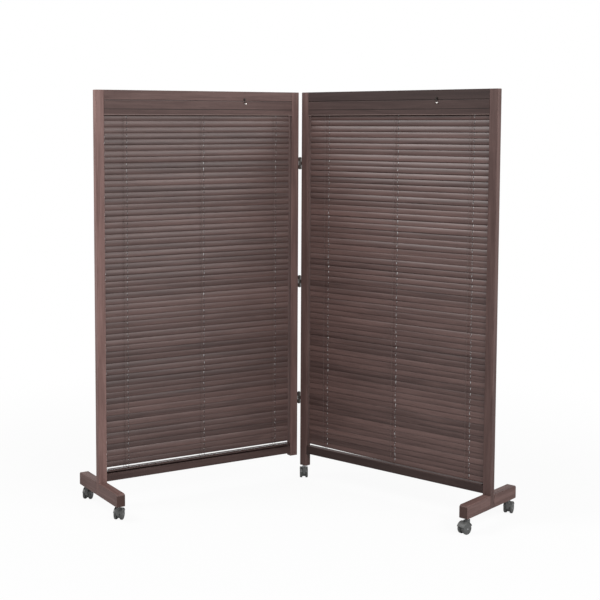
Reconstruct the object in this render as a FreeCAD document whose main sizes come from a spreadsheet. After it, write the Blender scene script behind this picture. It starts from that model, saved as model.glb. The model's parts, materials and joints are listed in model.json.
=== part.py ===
import FreeCAD, Part
import math
import os
import types
import Sketcher

# Two-panel folding screen on casters. Each panel is a wooden frame with a slatted blind in it.
# A panel is drawn in a frame of its own: x runs along it from its left end, y from its front
# face to its back, z up from the floor. The panels are then turned about the hinge pin.

# Driving dimensions in millimetres, turns in degrees.
SIZES = {
    # frame
    "screen_height": 1500.0,
    "panel_width": 840.0,
    "panel_angle": 35.75,
    "frame_depth": 25.0,
    "post_width": 32.0,
    "post_edge_radius": 2.0,
    "top_rail_height": 34.0,
    "bottom_rail_height": 28.0,
    "rail_recess": 0.75,
    "rail_edge_radius": 1.2,
    "rail_lift": 3.5,
    "short_post_tail": 11.0,
    "dowel_diameter": 6.0,
    "dowel_depth": 18.0,
    "dowel_spacing": 11.0,
    "dowel_end_gap": 0.5,
    # feet
    "foot_height": 46.0,
    "foot_length": 330.0,
    "foot_width": 32.0,
    "foot_top_radius": 9.0,
    "foot_bottom_radius": 5.0,
    "foot_edge_radius": 1.5,
    "tongue_thickness": 14.0,
    "tongue_dowel_depth": 8.0,
    "foot_dowel_depth": 11.0,
    "joint_slack": 0.15,
    # hinges
    "hinge_gap": 13.0,
    "hinge_height": 44.0,
    "hinge_spacing": 455.0,
    "hinge_middle_height": 776.0,
    "pin_diameter": 5.0,
    "pin_head_diameter": 7.0,
    "pin_head_height": 1.5,
    "barrel_diameter": 9.5,
    "leaf_thickness": 2.5,
    "leaf_width": 17.0,
    "leaf_start": 3.4,
    "knuckle_gap": 0.4,
    "hinge_screw_diameter": 3.5,
    "hinge_screw_length": 16.0,
    "hinge_screw_spacing": 26.0,
    "screw_head_diameter": 6.4,
    "screw_head_height": 1.6,
    # blind
    "slat_width": 25.0,
    "slat_thickness": 2.0,
    "slat_crown": 1.2,
    "slat_end_gap": 5.0,
    "slat_pitch": 21.05,
    "slat_tilt": 75.0,
    "left_top_slat_drop": 30.7,
    "right_top_slat_drop": 27.6,
    "lowest_slat_gap": 3.6,
    "closing_row_count": 8,
    "left_spare_count": 2,
    "right_spare_count": 0,
    "left_stack_tilt": 15.0,
    "right_stack_tilt": 0.0,
    "stack_pitch": 6.6,
    "bottom_bar_height": 3.0,
    "bottom_bar_depth": 24.0,
    "board_edge_radius": 0.8,
    "ladder_inset": 72.0,
    "string_size": 1.1,
    "rung_size": 0.8,
    "string_gap": 0.3,
    "lift_cord_diameter": 1.4,
    "lift_cord_offset": 14.0,
    "slot_length": 18.0,
    "slot_width": 3.2,
    "valance_height": 50.5,
    "valance_groove_rise": 19.5,
    "valance_groove_width": 1.6,
    "valance_groove_depth": 0.8,
    "valance_top_gap": 2.5,
    "valance_thickness": 4.0,
    "valance_end_gap": 0.5,
    "groove_depth": 16.0,
    "groove_slack": 0.2,
    "channel_height": 26.0,
    "channel_wall": 1.0,
    "channel_end_gap": 2.0,
    "rod_diameter": 5.0,
    "rod_end_gap": 8.0,
    "drum_diameter": 10.0,
    "drum_flange_diameter": 12.0,
    "drum_length": 14.0,
    "drum_flange_thickness": 1.5,
    "cradle_length": 40.0,
    "cradle_wall": 4.0,
    "cradle_block_length": 11.0,
    "cradle_bridge": 2.0,
    "cradle_lift": 1.0,
    "tilter_place": 600.0,
    "tilter_length": 24.0,
    "tilter_wall": 4.0,
    "tilter_drop": 7.0,
    "worm_wheel_diameter": 9.0,
    "worm_wheel_length": 7.0,
    "worm_diameter": 6.0,
    "worm_length": 8.0,
    "mesh_gap": 0.3,
    "hook_rise": 5.0,
    "hook_shaft_diameter": 4.0,
    "hook_hole_slack": 0.5,
    "hook_collar_diameter": 8.4,
    "hook_collar_length": 2.4,
    "hook_collar_gap": 0.4,
    "hook_wire_diameter": 2.2,
    "hook_end": 0.4,
    "hook_drop": 14.0,
    "hook_bend_radius": 3.0,
    # casters
    "caster_height": 55.0,
    "caster_inset": 28.0,
    "caster_trail": 15.0,
    "wheel_diameter": 40.0,
    "wheel_width": 9.0,
    "wheel_edge_radius": 2.5,
    "wheel_side_gap": 0.4,
    "web_width": 11.2,
    "web_diameter": 30.0,
    "hood_thickness": 1.8,
    "hood_gap": 0.8,
    "hood_skirt_height": 27.0,
    "hood_top_height": 47.0,
    "boss_diameter": 15.0,
    "boss_height": 8.5,
    "axle_diameter": 5.0,
    "stem_diameter": 9.0,
    "stem_seat": 7.0,
    "stem_depth": 30.0,
    "stem_end_gap": 0.5,
    "middle_stem_place": 11.0,
    "left_front_caster_angle": -133.0,
    "left_rear_caster_angle": -132.0,
    "right_front_caster_angle": 81.5,
    "right_rear_caster_angle": -74.5,
    "middle_caster_angle": -48.5,
    # running clearance of pins, stems and shafts, on the radius
    "fit_slack": 0.05,
}

doc = FreeCAD.newDocument("folding_screen")
sheet = doc.addObject("Spreadsheet::Sheet", "Sizes")
for row, (alias, amount) in enumerate(SIZES.items(), start=1):
    sheet.set(f"A{row}", alias)
    sheet.set(f"B{row}", str(amount))
    sheet.setAlias(f"B{row}", alias)
doc.recompute()


class Size:
    """A length as a number and as the sheet expression that it comes from."""

    def __init__(self, text, number):
        self.text = text
        self.number = number

    def __float__(self):
        return self.number

    def __add__(self, other):
        other = as_size(other)
        return Size(f"({self.text} + {other.text})", self.number + other.number)

    __radd__ = __add__

    def __sub__(self, other):
        other = as_size(other)
        return Size(f"({self.text} - {other.text})", self.number - other.number)

    def __rsub__(self, other):
        return as_size(other) - self

    def __mul__(self, other):
        other = as_size(other)
        return Size(f"({self.text} * {other.text})", self.number * other.number)

    __rmul__ = __mul__

    def __truediv__(self, other):
        other = as_size(other)
        return Size(f"({self.text} / {other.text})", self.number / other.number)

    def __neg__(self):
        return 0 - self


def as_size(thing):
    """A plain number as a size, and a size as it is."""
    if isinstance(thing, Size):
        return thing
    return Size(str(thing), float(thing))


S = types.SimpleNamespace(**{name: Size(f"Sizes.{name}", float(sheet.get(name))) for name in SIZES})

# Heights over the floor and widths that several pieces share.
FOOT_TOP = S.caster_height + S.foot_height
RAIL_BOTTOM = FOOT_TOP + S.rail_lift
RAIL_TOP = RAIL_BOTTOM + S.bottom_rail_height
TOP_RAIL_BOTTOM = S.screen_height - S.top_rail_height
MID_DEPTH = S.frame_depth / 2
INNER_WIDTH = S.panel_width - 2 * S.post_width
RAIL_DEPTH = S.frame_depth - 2 * S.rail_recess
DOWEL_RADIUS = S.dowel_diameter / 2
BOTTOM_DOWEL_HEIGHT = RAIL_BOTTOM + S.bottom_rail_height / 2
TOP_DOWEL_HEIGHT = S.screen_height - (S.top_rail_height - S.groove_depth) / 2
# The head channel sits in a groove under the top rail, behind the valance.
CHANNEL_FRONT = S.rail_recess + S.valance_thickness
CHANNEL_DEPTH = S.frame_depth - 2 * CHANNEL_FRONT
CHANNEL_INNER_DEPTH = CHANNEL_DEPTH - 2 * S.channel_wall
CHANNEL_TOP = TOP_RAIL_BOTTOM + S.groove_depth
CHANNEL_BOTTOM = CHANNEL_TOP - S.channel_height
CHANNEL_CEILING = CHANNEL_TOP - S.channel_wall
WORM_HEIGHT = TOP_RAIL_BOTTOM + S.hook_rise
ROD_HEIGHT = WORM_HEIGHT - (S.worm_wheel_diameter + S.worm_diameter) / 2 - S.mesh_gap
ROD_BORE = S.rod_diameter / 2 + S.fit_slack
SLAT_MIDDLE = S.panel_width / 2
SLAT_LENGTH = INNER_WIDTH - 2 * S.slat_end_gap
PLATE_MIDDLE = S.leaf_start + S.leaf_width / 2
WHEEL_RADIUS = S.wheel_diameter / 2
STATIONS = [SLAT_MIDDLE + step * (SLAT_LENGTH / 2 - S.ladder_inset) for step in (-1, 0, 1)]
HINGE_HEIGHTS = [S.hinge_middle_height + step * S.hinge_spacing for step in (-1, 0, 1)]
SCREW_HEIGHTS = [level + half * S.hinge_screw_spacing for level in HINGE_HEIGHTS for half in (-0.5, 0.5)]

# How a round bar that is drawn upright is turned to lie along another axis.
ALONG = {
    "x": FreeCAD.Rotation(FreeCAD.Vector(0, 1, 0), 90),
    "y": FreeCAD.Rotation(FreeCAD.Vector(1, 0, 0), -90),
    "z": FreeCAD.Rotation(),
}
nodes = []


def vector(x, y, z):
    """A point from sizes or numbers."""
    return FreeCAD.Vector(float(x), float(y), float(z))


def at(x, y, z, turn=0):
    """A place, turned about the upright axis by so many degrees."""
    return FreeCAD.Placement(vector(x, y, z), FreeCAD.Rotation(FreeCAD.Vector(0, 0, 1), float(turn)))


def bind(made, **sizes):
    """Ties the named properties of an object to the sheet."""
    for name, length in sizes.items():
        made.setExpression(name, as_size(length).text)


def keep(made, label, place):
    """Names a finished sub-part and puts it in its place."""
    made.Label = label
    made.Placement = place.multiply(made.Placement)
    nodes.append(made)
    return made


def box(name, length, width, height, x=0, y=0, z=0):
    """A block with its lowest corner at x, y, z."""
    made = doc.addObject("Part::Box", name)
    bind(made, Length=length, Width=width, Height=height)
    made.Placement = at(x, y, z)
    return made


def bar(name, radius, length, x=0, y=0, z=0, axis="z"):
    """A round bar that starts at x, y, z and runs along an axis."""
    made = doc.addObject("Part::Cylinder", name)
    bind(made, Radius=radius, Height=length)
    made.Placement = FreeCAD.Placement(vector(x, y, z), ALONG[axis])
    return made


def cut(name, base, *tools):
    """The base with each tool taken away from it."""
    for step, tool in enumerate(tools):
        made = doc.addObject("Part::Cut", f"{name}_{step}")
        made.Base = base
        made.Tool = tool
        base = made
    return base


def fuse(name, *pieces):
    """Several blocks joined into one solid."""
    made = doc.addObject("Part::MultiFuse", name)
    made.Shapes = list(pieces)
    made.Refine = True
    return made


def group(name, shapes):
    """Separate solids that share one sub-part."""
    made = doc.addObject("Part::Feature", name)
    made.Shape = Part.makeCompound(shapes)
    return made


def copies(master, places):
    """A finished shape repeated at several places."""
    doc.recompute()
    shapes = []
    for place in places:
        shape = master.Shape.copy()
        shape.Placement = place.multiply(shape.Placement)
        shapes.append(shape)
    return shapes


def sketch(body, name, role, offset=0):
    """A sketch on one of the body's own planes, or a step away from it."""
    plane = next(feature for feature in body.Origin.OriginFeatures if feature.Role == role)
    made = body.newObject("Sketcher::SketchObject", name)
    made.AttachmentSupport = [(plane, "")]
    made.MapMode = "FlatFace"
    bind(made, **{"AttachmentOffset.Base.z": offset})
    return made


def dimension(on, length, kind, *where):
    """A driving dimension of a sketch, tied to the sheet."""
    index = on.addConstraint(Sketcher.Constraint(kind, *where, float(length)))
    on.setExpression(f"Constraints[{index}]", as_size(length).text)


def pin_point(on, item, point, x, y):
    """Ties a point of a sketch to its distance from the sketch's origin."""
    for kind, amount, axis in (("DistanceX", x, -2), ("DistanceY", y, -1)):
        if float(amount):
            dimension(on, amount, kind, -1, 1, item, point)
        else:
            on.addConstraint(Sketcher.Constraint("PointOnObject", item, point, axis))


def rectangle(on, width, height, left=0, bottom=0):
    """A rectangle with its lower left corner at left, bottom."""
    first = on.GeometryCount
    low = vector(left, bottom, 0)
    high = low + vector(width, height, 0)
    corners = [low, vector(high.x, low.y, 0), high, vector(low.x, high.y, 0)]
    for step in range(4):
        on.addGeometry(Part.LineSegment(corners[step], corners[(step + 1) % 4]))
    for step in range(4):
        on.addConstraint(Sketcher.Constraint("Coincident", first + step, 2, first + (step + 1) % 4, 1))
        level = "Horizontal" if step % 2 == 0 else "Vertical"
        on.addConstraint(Sketcher.Constraint(level, first + step))
    dimension(on, width, "DistanceX", first, 1, first, 2)
    dimension(on, height, "DistanceY", first + 1, 1, first + 1, 2)
    pin_point(on, first, 1, left, bottom)


def circle(on, diameter, x=0, y=0):
    """A circle about x, y."""
    item = on.addGeometry(Part.Circle(vector(x, y, 0), FreeCAD.Vector(0, 0, 1), float(diameter) / 2))
    dimension(on, diameter, "Diameter", item)
    pin_point(on, item, 3, x, y)


def pad(body, profile, length):
    """Raises a sketch into a solid."""
    made = body.newObject("PartDesign::Pad", f"{body.Name}_pad")
    made.Profile = profile
    bind(made, Length=length)
    doc.recompute()
    return made


def pocket(body, profile, depth, along_normal=False):
    """Cuts a sketch into the body and makes sure that it took something away."""
    before = body.Shape.Volume
    made = body.newObject("PartDesign::Pocket", f"{profile.Name}_pocket")
    made.Profile = profile
    made.Reversed = along_normal
    bind(made, Length=depth)
    doc.recompute()
    if not body.Shape.Volume < before:
        raise RuntimeError(f"{made.Name} cuts nothing")
    return made


def round_edges(body, base, radius, chosen):
    """Rounds the edges of a feature that pass a test."""
    made = body.newObject("PartDesign::Fillet", f"{base.Name}_rounding")
    made.Base = (base, [f"Edge{n}" for n, edge in enumerate(base.Shape.Edges, 1) if chosen(edge)])
    bind(made, Radius=radius)
    doc.recompute()
    return made


def runs_along(edge, axis):
    """True for a straight edge along the axis x, y or z."""
    low, high = (end.Point for end in (edge.Vertexes[0], edge.Vertexes[-1]))
    span = high - low
    return abs(getattr(span, axis)) > 0.99 * edge.Length > 0


def bores(body, name, role, offset, centres, diameter, depth, along_normal=False):
    """Round blind holes from a plane of the body."""
    face = sketch(body, name, role, offset)
    for x, y in centres:
        circle(face, diameter, x, y)
    pocket(body, face, depth, along_normal)


def dowel_pair(height):
    """The two dowels of a joint, side by side in the depth of the frame."""
    return [(MID_DEPTH + half * S.dowel_spacing, height) for half in (-0.5, 0.5)]


def post(name, bottom):
    """A square post with rounded edges, drawn from its free face at x = 0, with holes for the rails' dowels."""
    body = doc.addObject("PartDesign::Body", name)
    section = sketch(body, f"{name}_section", "XY_Plane")
    rectangle(section, S.post_width, S.frame_depth)
    stick = pad(body, section, S.screen_height - bottom)
    round_edges(body, stick, S.post_edge_radius, lambda edge: True)
    centres = dowel_pair(BOTTOM_DOWEL_HEIGHT - bottom) + dowel_pair(TOP_DOWEL_HEIGHT - bottom)
    bore = S.dowel_diameter + 2 * S.fit_slack
    bores(body, f"{name}_dowels", "YZ_Plane", S.post_width, centres, bore, S.dowel_depth)
    return body


def outer_post(name):
    """A post whose lower end is a tongue that laps over the foot's side."""
    body = post(name, S.caster_height)
    step = sketch(body, f"{name}_step", "XY_Plane")
    rectangle(step, S.post_width - S.tongue_thickness, S.frame_depth, S.tongue_thickness)
    pocket(body, step, S.foot_height, along_normal=True)
    centres = dowel_pair(S.foot_height / 2)
    bore = S.dowel_diameter + 2 * S.fit_slack
    bores(body, f"{name}_foot", "YZ_Plane", S.tongue_thickness, centres, bore, S.tongue_dowel_depth)
    return body


def inner_post(name, bottom, screw_depth):
    """A post with the hinge screws' holes in its free face, at a given depth behind its front."""
    body = post(name, bottom)
    centres = [(screw_depth, height - bottom) for height in SCREW_HEIGHTS]
    hole = S.hinge_screw_diameter + 2 * S.fit_slack
    depth = S.hinge_screw_length + S.dowel_end_gap
    bores(body, f"{name}_screws", "YZ_Plane", 0, centres, hole, depth, along_normal=True)
    return body


def stem_socket(body, name, x, y):
    """The hole that a caster's stem turns in."""
    bore = S.stem_diameter + 2 * S.fit_slack
    bores(body, name, "XY_Plane", 0, [(x, y)], bore, S.stem_depth, along_normal=True)


def foot(name):
    """A beam with rounded ends, notched for the post's tongue in its outer side at x = 0."""
    body = doc.addObject("PartDesign::Body", name)
    section = sketch(body, f"{name}_section", "XY_Plane")
    rectangle(section, S.foot_width, S.foot_length)
    beam = pad(body, section, S.foot_height)
    across = [edge for edge in beam.Shape.Edges if runs_along(edge, "x")]
    middle = float(S.foot_height) / 2
    for radius, upper in ((S.foot_top_radius, True), (S.foot_bottom_radius, False)):
        beam = round_edges(
            body,
            beam,
            radius,
            lambda edge: runs_along(edge, "x")
            and (edge.CenterOfMass.z > middle) == upper
            and any(edge.CenterOfMass.isEqual(end.CenterOfMass, 1e-3) for end in across),
        )
    round_edges(body, beam, S.foot_edge_radius, lambda edge: not runs_along(edge, "x"))
    notch = sketch(body, f"{name}_notch", "XY_Plane")
    start = (S.foot_length - S.frame_depth) / 2 - S.joint_slack
    depth = S.tongue_thickness + S.joint_slack
    rectangle(notch, depth, S.frame_depth + 2 * S.joint_slack, 0, start)
    pocket(body, notch, S.foot_height, along_normal=True)
    centres = [(S.foot_length / 2 + half * S.dowel_spacing, S.foot_height / 2) for half in (-0.5, 0.5)]
    bore = S.dowel_diameter + 2 * S.fit_slack
    bores(body, f"{name}_dowels", "YZ_Plane", depth, centres, bore, S.foot_dowel_depth, along_normal=True)
    for end, y in (("front", S.caster_inset), ("rear", S.foot_length - S.caster_inset)):
        stem_socket(body, f"{name}_{end}_socket", S.foot_width / 2, y)
    return body


def rail(name, height, dowel_height):
    """A rail between the posts, with rounded long edges and dowel holes in both ends."""
    body = doc.addObject("PartDesign::Body", name)
    section = sketch(body, f"{name}_section", "XY_Plane")
    rectangle(section, INNER_WIDTH, RAIL_DEPTH)
    stick = pad(body, section, height)
    round_edges(body, stick, S.rail_edge_radius, lambda edge: runs_along(edge, "x"))
    centres = [(y - S.rail_recess, z) for y, z in dowel_pair(dowel_height)]
    bore = S.dowel_diameter + 2 * S.fit_slack
    bores(body, f"{name}_start", "YZ_Plane", 0, centres, bore, S.dowel_depth, along_normal=True)
    bores(body, f"{name}_end", "YZ_Plane", INNER_WIDTH, centres, bore, S.dowel_depth)
    return body


def top_rail(name):
    """The top rail, grooved below for the head channel and bored for the tilter's shaft."""
    body = rail(name, S.top_rail_height, TOP_DOWEL_HEIGHT - TOP_RAIL_BOTTOM)
    groove = sketch(body, f"{name}_groove", "XY_Plane")
    front = S.valance_thickness - S.groove_slack
    rectangle(groove, INNER_WIDTH, CHANNEL_DEPTH + 2 * S.groove_slack, 0, front)
    pocket(body, groove, S.groove_depth, along_normal=True)
    hole = S.hook_shaft_diameter + 2 * S.hook_hole_slack
    centre = (S.tilter_place - S.post_width, S.hook_rise)
    face = sketch(body, f"{name}_shaft", "XZ_Plane")
    circle(face, hole, *centre)
    pocket(body, face, S.valance_thickness)
    return body


def dowels(name, outer_end):
    """All dowels of a panel: two in each rail end, and two between the outer post's tongue and its foot."""
    long_dowel = bar(f"{name}_rail", DOWEL_RADIUS, 2 * S.dowel_depth - S.dowel_end_gap, axis="x")
    short_length = S.tongue_dowel_depth + S.joint_slack + S.foot_dowel_depth - S.dowel_end_gap
    short_dowel = bar(f"{name}_foot", DOWEL_RADIUS, short_length, axis="x")
    start = S.dowel_end_gap / 2 - S.dowel_depth
    places = []
    for x in (S.post_width + start, S.panel_width - S.post_width + start):
        for y, z in dowel_pair(BOTTOM_DOWEL_HEIGHT) + dowel_pair(TOP_DOWEL_HEIGHT):
            places.append(at(x, y, z))
    shapes = copies(long_dowel, places)
    inward = S.tongue_thickness - S.tongue_dowel_depth + S.dowel_end_gap / 2
    x = inward if outer_end == "left" else S.panel_width - inward - short_length
    height = S.caster_height + S.foot_height / 2
    shapes += copies(short_dowel, [at(x, y, z) for y, z in dowel_pair(height)])
    return group(name, shapes)


def head_channel(name):
    """The folded channel that holds the blind's works, open below, with a hole for the tilter's shaft."""
    length = INNER_WIDTH - 2 * S.channel_end_gap
    start = S.post_width + S.channel_end_gap
    front = CHANNEL_FRONT
    shell = box(f"{name}_outside", length, CHANNEL_DEPTH, S.channel_height, start, front, CHANNEL_BOTTOM)
    inside = box(
        f"{name}_inside",
        length,
        CHANNEL_INNER_DEPTH,
        S.channel_height - S.channel_wall,
        start,
        front + S.channel_wall,
        CHANNEL_BOTTOM,
    )
    radius = S.hook_shaft_diameter / 2 + S.hook_hole_slack
    hole = bar(f"{name}_hole", radius, MID_DEPTH, S.tilter_place, 0, WORM_HEIGHT, "y")
    return cut(name, shell, inside, hole)


def board(name, length, depth, height):
    """A board with rounded long edges, from its lowest corner."""
    body = doc.addObject("PartDesign::Body", name)
    section = sketch(body, f"{name}_section", "XY_Plane")
    rectangle(section, length, depth)
    blank = pad(body, section, height)
    round_edges(body, blank, S.board_edge_radius, lambda edge: runs_along(edge, "x"))
    return body


def valance(name):
    """The grooved board in front of the head channel, flush with the rails, with a gap under the top rail."""
    length = INNER_WIDTH - 2 * S.valance_end_gap
    body = board(name, length, S.valance_thickness, S.valance_height)
    groove = sketch(body, f"{name}_groove", "XZ_Plane")
    rectangle(groove, length, S.valance_groove_width, 0, S.valance_groove_rise)
    pocket(body, groove, S.valance_groove_depth)
    start = S.post_width + S.valance_end_gap
    body.Placement = at(start, S.rail_recess, TOP_RAIL_BOTTOM - S.valance_top_gap - S.valance_height)
    return body


def tilt_rod(name):
    """The rod that turns the ladder drums."""
    length = INNER_WIDTH - 2 * S.rod_end_gap
    return bar(name, S.rod_diameter / 2, length, S.post_width + S.rod_end_gap, MID_DEPTH, ROD_HEIGHT, "x")


def drums_and_wheel(name):
    """A flanged drum for each ladder and the tilter's worm wheel, all fixed on the rod."""
    flange = S.drum_flange_diameter / 2
    hub = bar(f"{name}_hub", S.drum_diameter / 2, S.drum_length, axis="x")
    near = bar(f"{name}_near", flange, S.drum_flange_thickness, axis="x")
    far = bar(f"{name}_far", flange, S.drum_flange_thickness, S.drum_length - S.drum_flange_thickness, axis="x")
    spool = fuse(f"{name}_spool", hub, near, far)
    drum = cut(f"{name}_drum", spool, bar(f"{name}_bore", ROD_BORE, S.drum_length, axis="x"))
    disc = bar(f"{name}_disc", S.worm_wheel_diameter / 2, S.worm_wheel_length, axis="x")
    wheel = cut(f"{name}_wheel", disc, bar(f"{name}_wheel_bore", ROD_BORE, S.worm_wheel_length, axis="x"))
    shapes = copies(drum, [at(x - S.drum_length / 2, MID_DEPTH, ROD_HEIGHT) for x in STATIONS])
    shapes += copies(wheel, [at(S.tilter_place - S.worm_wheel_length / 2, MID_DEPTH, ROD_HEIGHT)])
    return group(name, shapes)


def cradles(name):
    """Saddles in the channel that carry the rod on both sides of each drum."""
    bottom = CHANNEL_BOTTOM + S.cradle_lift
    front = CHANNEL_FRONT + S.channel_wall
    start = -S.cradle_length / 2
    height = CHANNEL_CEILING - bottom
    block = box(f"{name}_block", S.cradle_length, CHANNEL_INNER_DEPTH, height, start, front, bottom)
    opening = S.cradle_length - S.cradle_wall - S.cradle_block_length
    space = box(
        f"{name}_space",
        opening,
        CHANNEL_INNER_DEPTH,
        height - S.cradle_bridge,
        start + S.cradle_wall,
        front,
        bottom,
    )
    bore = bar(f"{name}_bore", ROD_BORE, S.cradle_length, start, MID_DEPTH, ROD_HEIGHT, "x")
    return group(name, copies(cut(f"{name}_one", block, space, bore), [at(x, 0, 0) for x in STATIONS]))


def tilter_housing(name):
    """The box round the worm and its wheel, fixed in the channel."""
    front = CHANNEL_FRONT + S.channel_wall
    bottom = ROD_HEIGHT - S.tilter_drop
    start = S.tilter_place - S.tilter_length / 2
    height = CHANNEL_CEILING - bottom
    block = box(f"{name}_block", S.tilter_length, CHANNEL_INNER_DEPTH, height, start, front, bottom)
    room = S.worm_wheel_length / 2 + S.mesh_gap
    low = ROD_HEIGHT - S.worm_wheel_diameter / 2 - S.mesh_gap
    high = WORM_HEIGHT + S.worm_diameter / 2 + S.mesh_gap
    depth = S.worm_wheel_diameter + 2 * S.mesh_gap
    space = box(f"{name}_space", 2 * room, depth, high - low, S.tilter_place - room, MID_DEPTH - depth / 2, low)
    rod_bore = bar(f"{name}_rod_bore", ROD_BORE, S.tilter_length, start, MID_DEPTH, ROD_HEIGHT, "x")
    shaft_bore = S.hook_shaft_diameter / 2 + S.fit_slack
    worm_bore = bar(f"{name}_worm_bore", shaft_bore, S.frame_depth, S.tilter_place, 0, WORM_HEIGHT, "y")
    return cut(name, block, space, rod_bore, worm_bore)


def tilter_hook(name):
    """The worm on its shaft, with a collar and a hook for the wand in front of the rail."""
    x = S.tilter_place
    wire = S.hook_wire_diameter / 2
    collar_front = S.rail_recess - S.hook_collar_gap - S.hook_collar_length
    wire_depth = collar_front - S.hook_end - wire
    tip = wire_depth - wire - S.hook_end
    back = CHANNEL_FRONT + CHANNEL_DEPTH - S.channel_wall - S.mesh_gap
    shaft = bar(f"{name}_shaft", S.hook_shaft_diameter / 2, back - tip, x, tip, WORM_HEIGHT, "y")
    start = MID_DEPTH - S.worm_length / 2
    worm = bar(f"{name}_worm", S.worm_diameter / 2, S.worm_length, x, start, WORM_HEIGHT, "y")
    collar_radius = S.hook_collar_diameter / 2
    collar = bar(f"{name}_collar", collar_radius, S.hook_collar_length, x, collar_front, WORM_HEIGHT, "y")
    # The wire hangs from the shaft and turns up again in a half circle.
    bend = S.hook_bend_radius
    level = WORM_HEIGHT - S.hook_drop
    top = vector(x, wire_depth, WORM_HEIGHT)
    start = vector(x, wire_depth, level)
    low = vector(x + bend, wire_depth, level - bend)
    end = vector(x + 2 * bend, wire_depth, level)
    route = Part.Wire([Part.makeLine(top, start), Part.Arc(start, low, end).toShape()])
    section = Part.Wire(Part.makeCircle(float(wire), top, FreeCAD.Vector(0, 0, 1)))
    hook = group(f"{name}_wire", [route.makePipeShell([section], True, True)])
    return fuse(name, shaft, worm, collar, hook)


def slat(name):
    """One slat about its own middle, crowned upwards across its width, with a slot for each lift cord."""
    start = -SLAT_LENGTH / 2
    half_width = S.slat_width / 2
    half_thick = S.slat_thickness / 2
    bend = (half_width * half_width / S.slat_crown + S.slat_crown) / 2
    over = bar(f"{name}_over", bend + half_thick, SLAT_LENGTH, start, 0, -bend, "x")
    under = bar(f"{name}_under", bend - half_thick, SLAT_LENGTH, start, 0, -bend, "x")
    strip = box(f"{name}_strip", SLAT_LENGTH, S.slat_width, bend, start, -half_width, half_thick - bend)
    blank = doc.addObject("Part::Common", f"{name}_blank")
    blank.Base = cut(f"{name}_tube", over, under)
    blank.Tool = strip
    slots = []
    for step, x in enumerate(STATIONS):
        left = x + S.lift_cord_offset - SLAT_MIDDLE - S.slot_width / 2
        front = -S.slot_length / 2
        low = -S.slat_thickness - S.slat_crown
        depth = 2 * (S.slat_thickness + S.slat_crown)
        slots.append(box(f"{name}_slot_{step}", S.slot_width, S.slot_length, depth, left, front, low))
    return cut(name, blank, *slots)


def of_side(name, size):
    """The size that a piece's own panel has, by the first word of the piece's name."""
    return getattr(S, f"{name.split('_')[0]}_{size}")


def half_rise(depth, thickness, tilt):
    """Half the height that a flat piece takes up when it is tilted by so many degrees."""
    turn = math.radians(float(tilt))
    return float(depth) / 2 * math.sin(turn) + float(thickness) / 2 * math.cos(turn)


def slat_drop():
    """How far a hanging slat reaches down from its middle, to the lower corner of its crowned front edge."""
    return half_rise(S.slat_width, S.slat_thickness + 2 * S.slat_crown, S.slat_tilt)


def tilted(z, tilt):
    """The place of a piece in the blind at the height z, with its front edge down by so many degrees."""
    turn = FreeCAD.Rotation(FreeCAD.Vector(1, 0, 0), float(tilt))
    return FreeCAD.Placement(vector(SLAT_MIDDLE, MID_DEPTH, z), turn)


def slat_levels(name):
    """Heights of the hanging slats' middles, from the top down. The lowest rows close up over the bar."""
    top = float(CHANNEL_BOTTOM - of_side(name, "top_slat_drop"))
    lowest = stack_top(name) + slat_drop() + float(S.lowest_slat_gap)
    pitch, closing = float(S.slat_pitch), int(S.closing_row_count.number)
    regular = max(round((top - lowest) / pitch) - closing, 0)
    levels = [top - row * pitch for row in range(regular + 1)]
    step = (levels[-1] - lowest) / closing
    return levels + [lowest + row * step for row in reversed(range(closing))]


def bar_level(name):
    """Height of the bottom bar's middle: it rests on the frame's bottom rail."""
    rise = half_rise(S.bottom_bar_depth, S.bottom_bar_height, of_side(name, "stack_tilt"))
    return float(RAIL_TOP) + rise


def stack_levels(name):
    """Heights of the spare slats' middles, which hang loosely over the bottom bar, from below."""
    rows = range(1, int(of_side(name, "spare_count").number) + 1)
    return [bar_level(name) + row * float(S.stack_pitch) for row in rows]


def stack_top(name):
    """The highest point of the bottom bar and the spare slats over it."""
    tilt = of_side(name, "stack_tilt")
    top = bar_level(name) + half_rise(S.bottom_bar_depth, S.bottom_bar_height, tilt)
    spare = [level + half_rise(S.slat_width, S.slat_thickness, tilt) for level in stack_levels(name)]
    return max([top] + spare)


def slats(name):
    """The hanging slats, nearly shut with their front edges down, and the spare ones over the bottom bar."""
    places = [tilted(z, S.slat_tilt) for z in slat_levels(name)]
    places += [tilted(z, -of_side(name, "stack_tilt")) for z in stack_levels(name)]
    return group(name, copies(slat(f"{name}_one"), places))


def bottom_bar(name):
    """The bar that ends the blind and rests on the frame's bottom rail."""
    body = board(name, SLAT_LENGTH, S.bottom_bar_depth, S.bottom_bar_height)
    middle = at(-SLAT_LENGTH / 2, -S.bottom_bar_depth / 2, -S.bottom_bar_height / 2)
    body.Placement = tilted(bar_level(name), -of_side(name, "stack_tilt")).multiply(middle)
    return body


def rung_outline(inside, offset, floor):
    """One side of a rung, as points of depth and height about its slat's middle.

    It leaves the back string, runs down under the slat at a distance of offset from the slat's middle
    plane, turns under the slat's lower edge at the height of floor and reaches the front string.
    """
    tilt = math.radians(float(S.slat_tilt))
    across, up = math.cos(tilt), math.sin(tilt)
    top = (inside - offset * up) / across
    low = (floor + offset * across) / up
    return [
        (inside, top * up - offset * across),
        (offset * up + low * across, floor),
        (-inside, floor),
    ]


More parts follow.
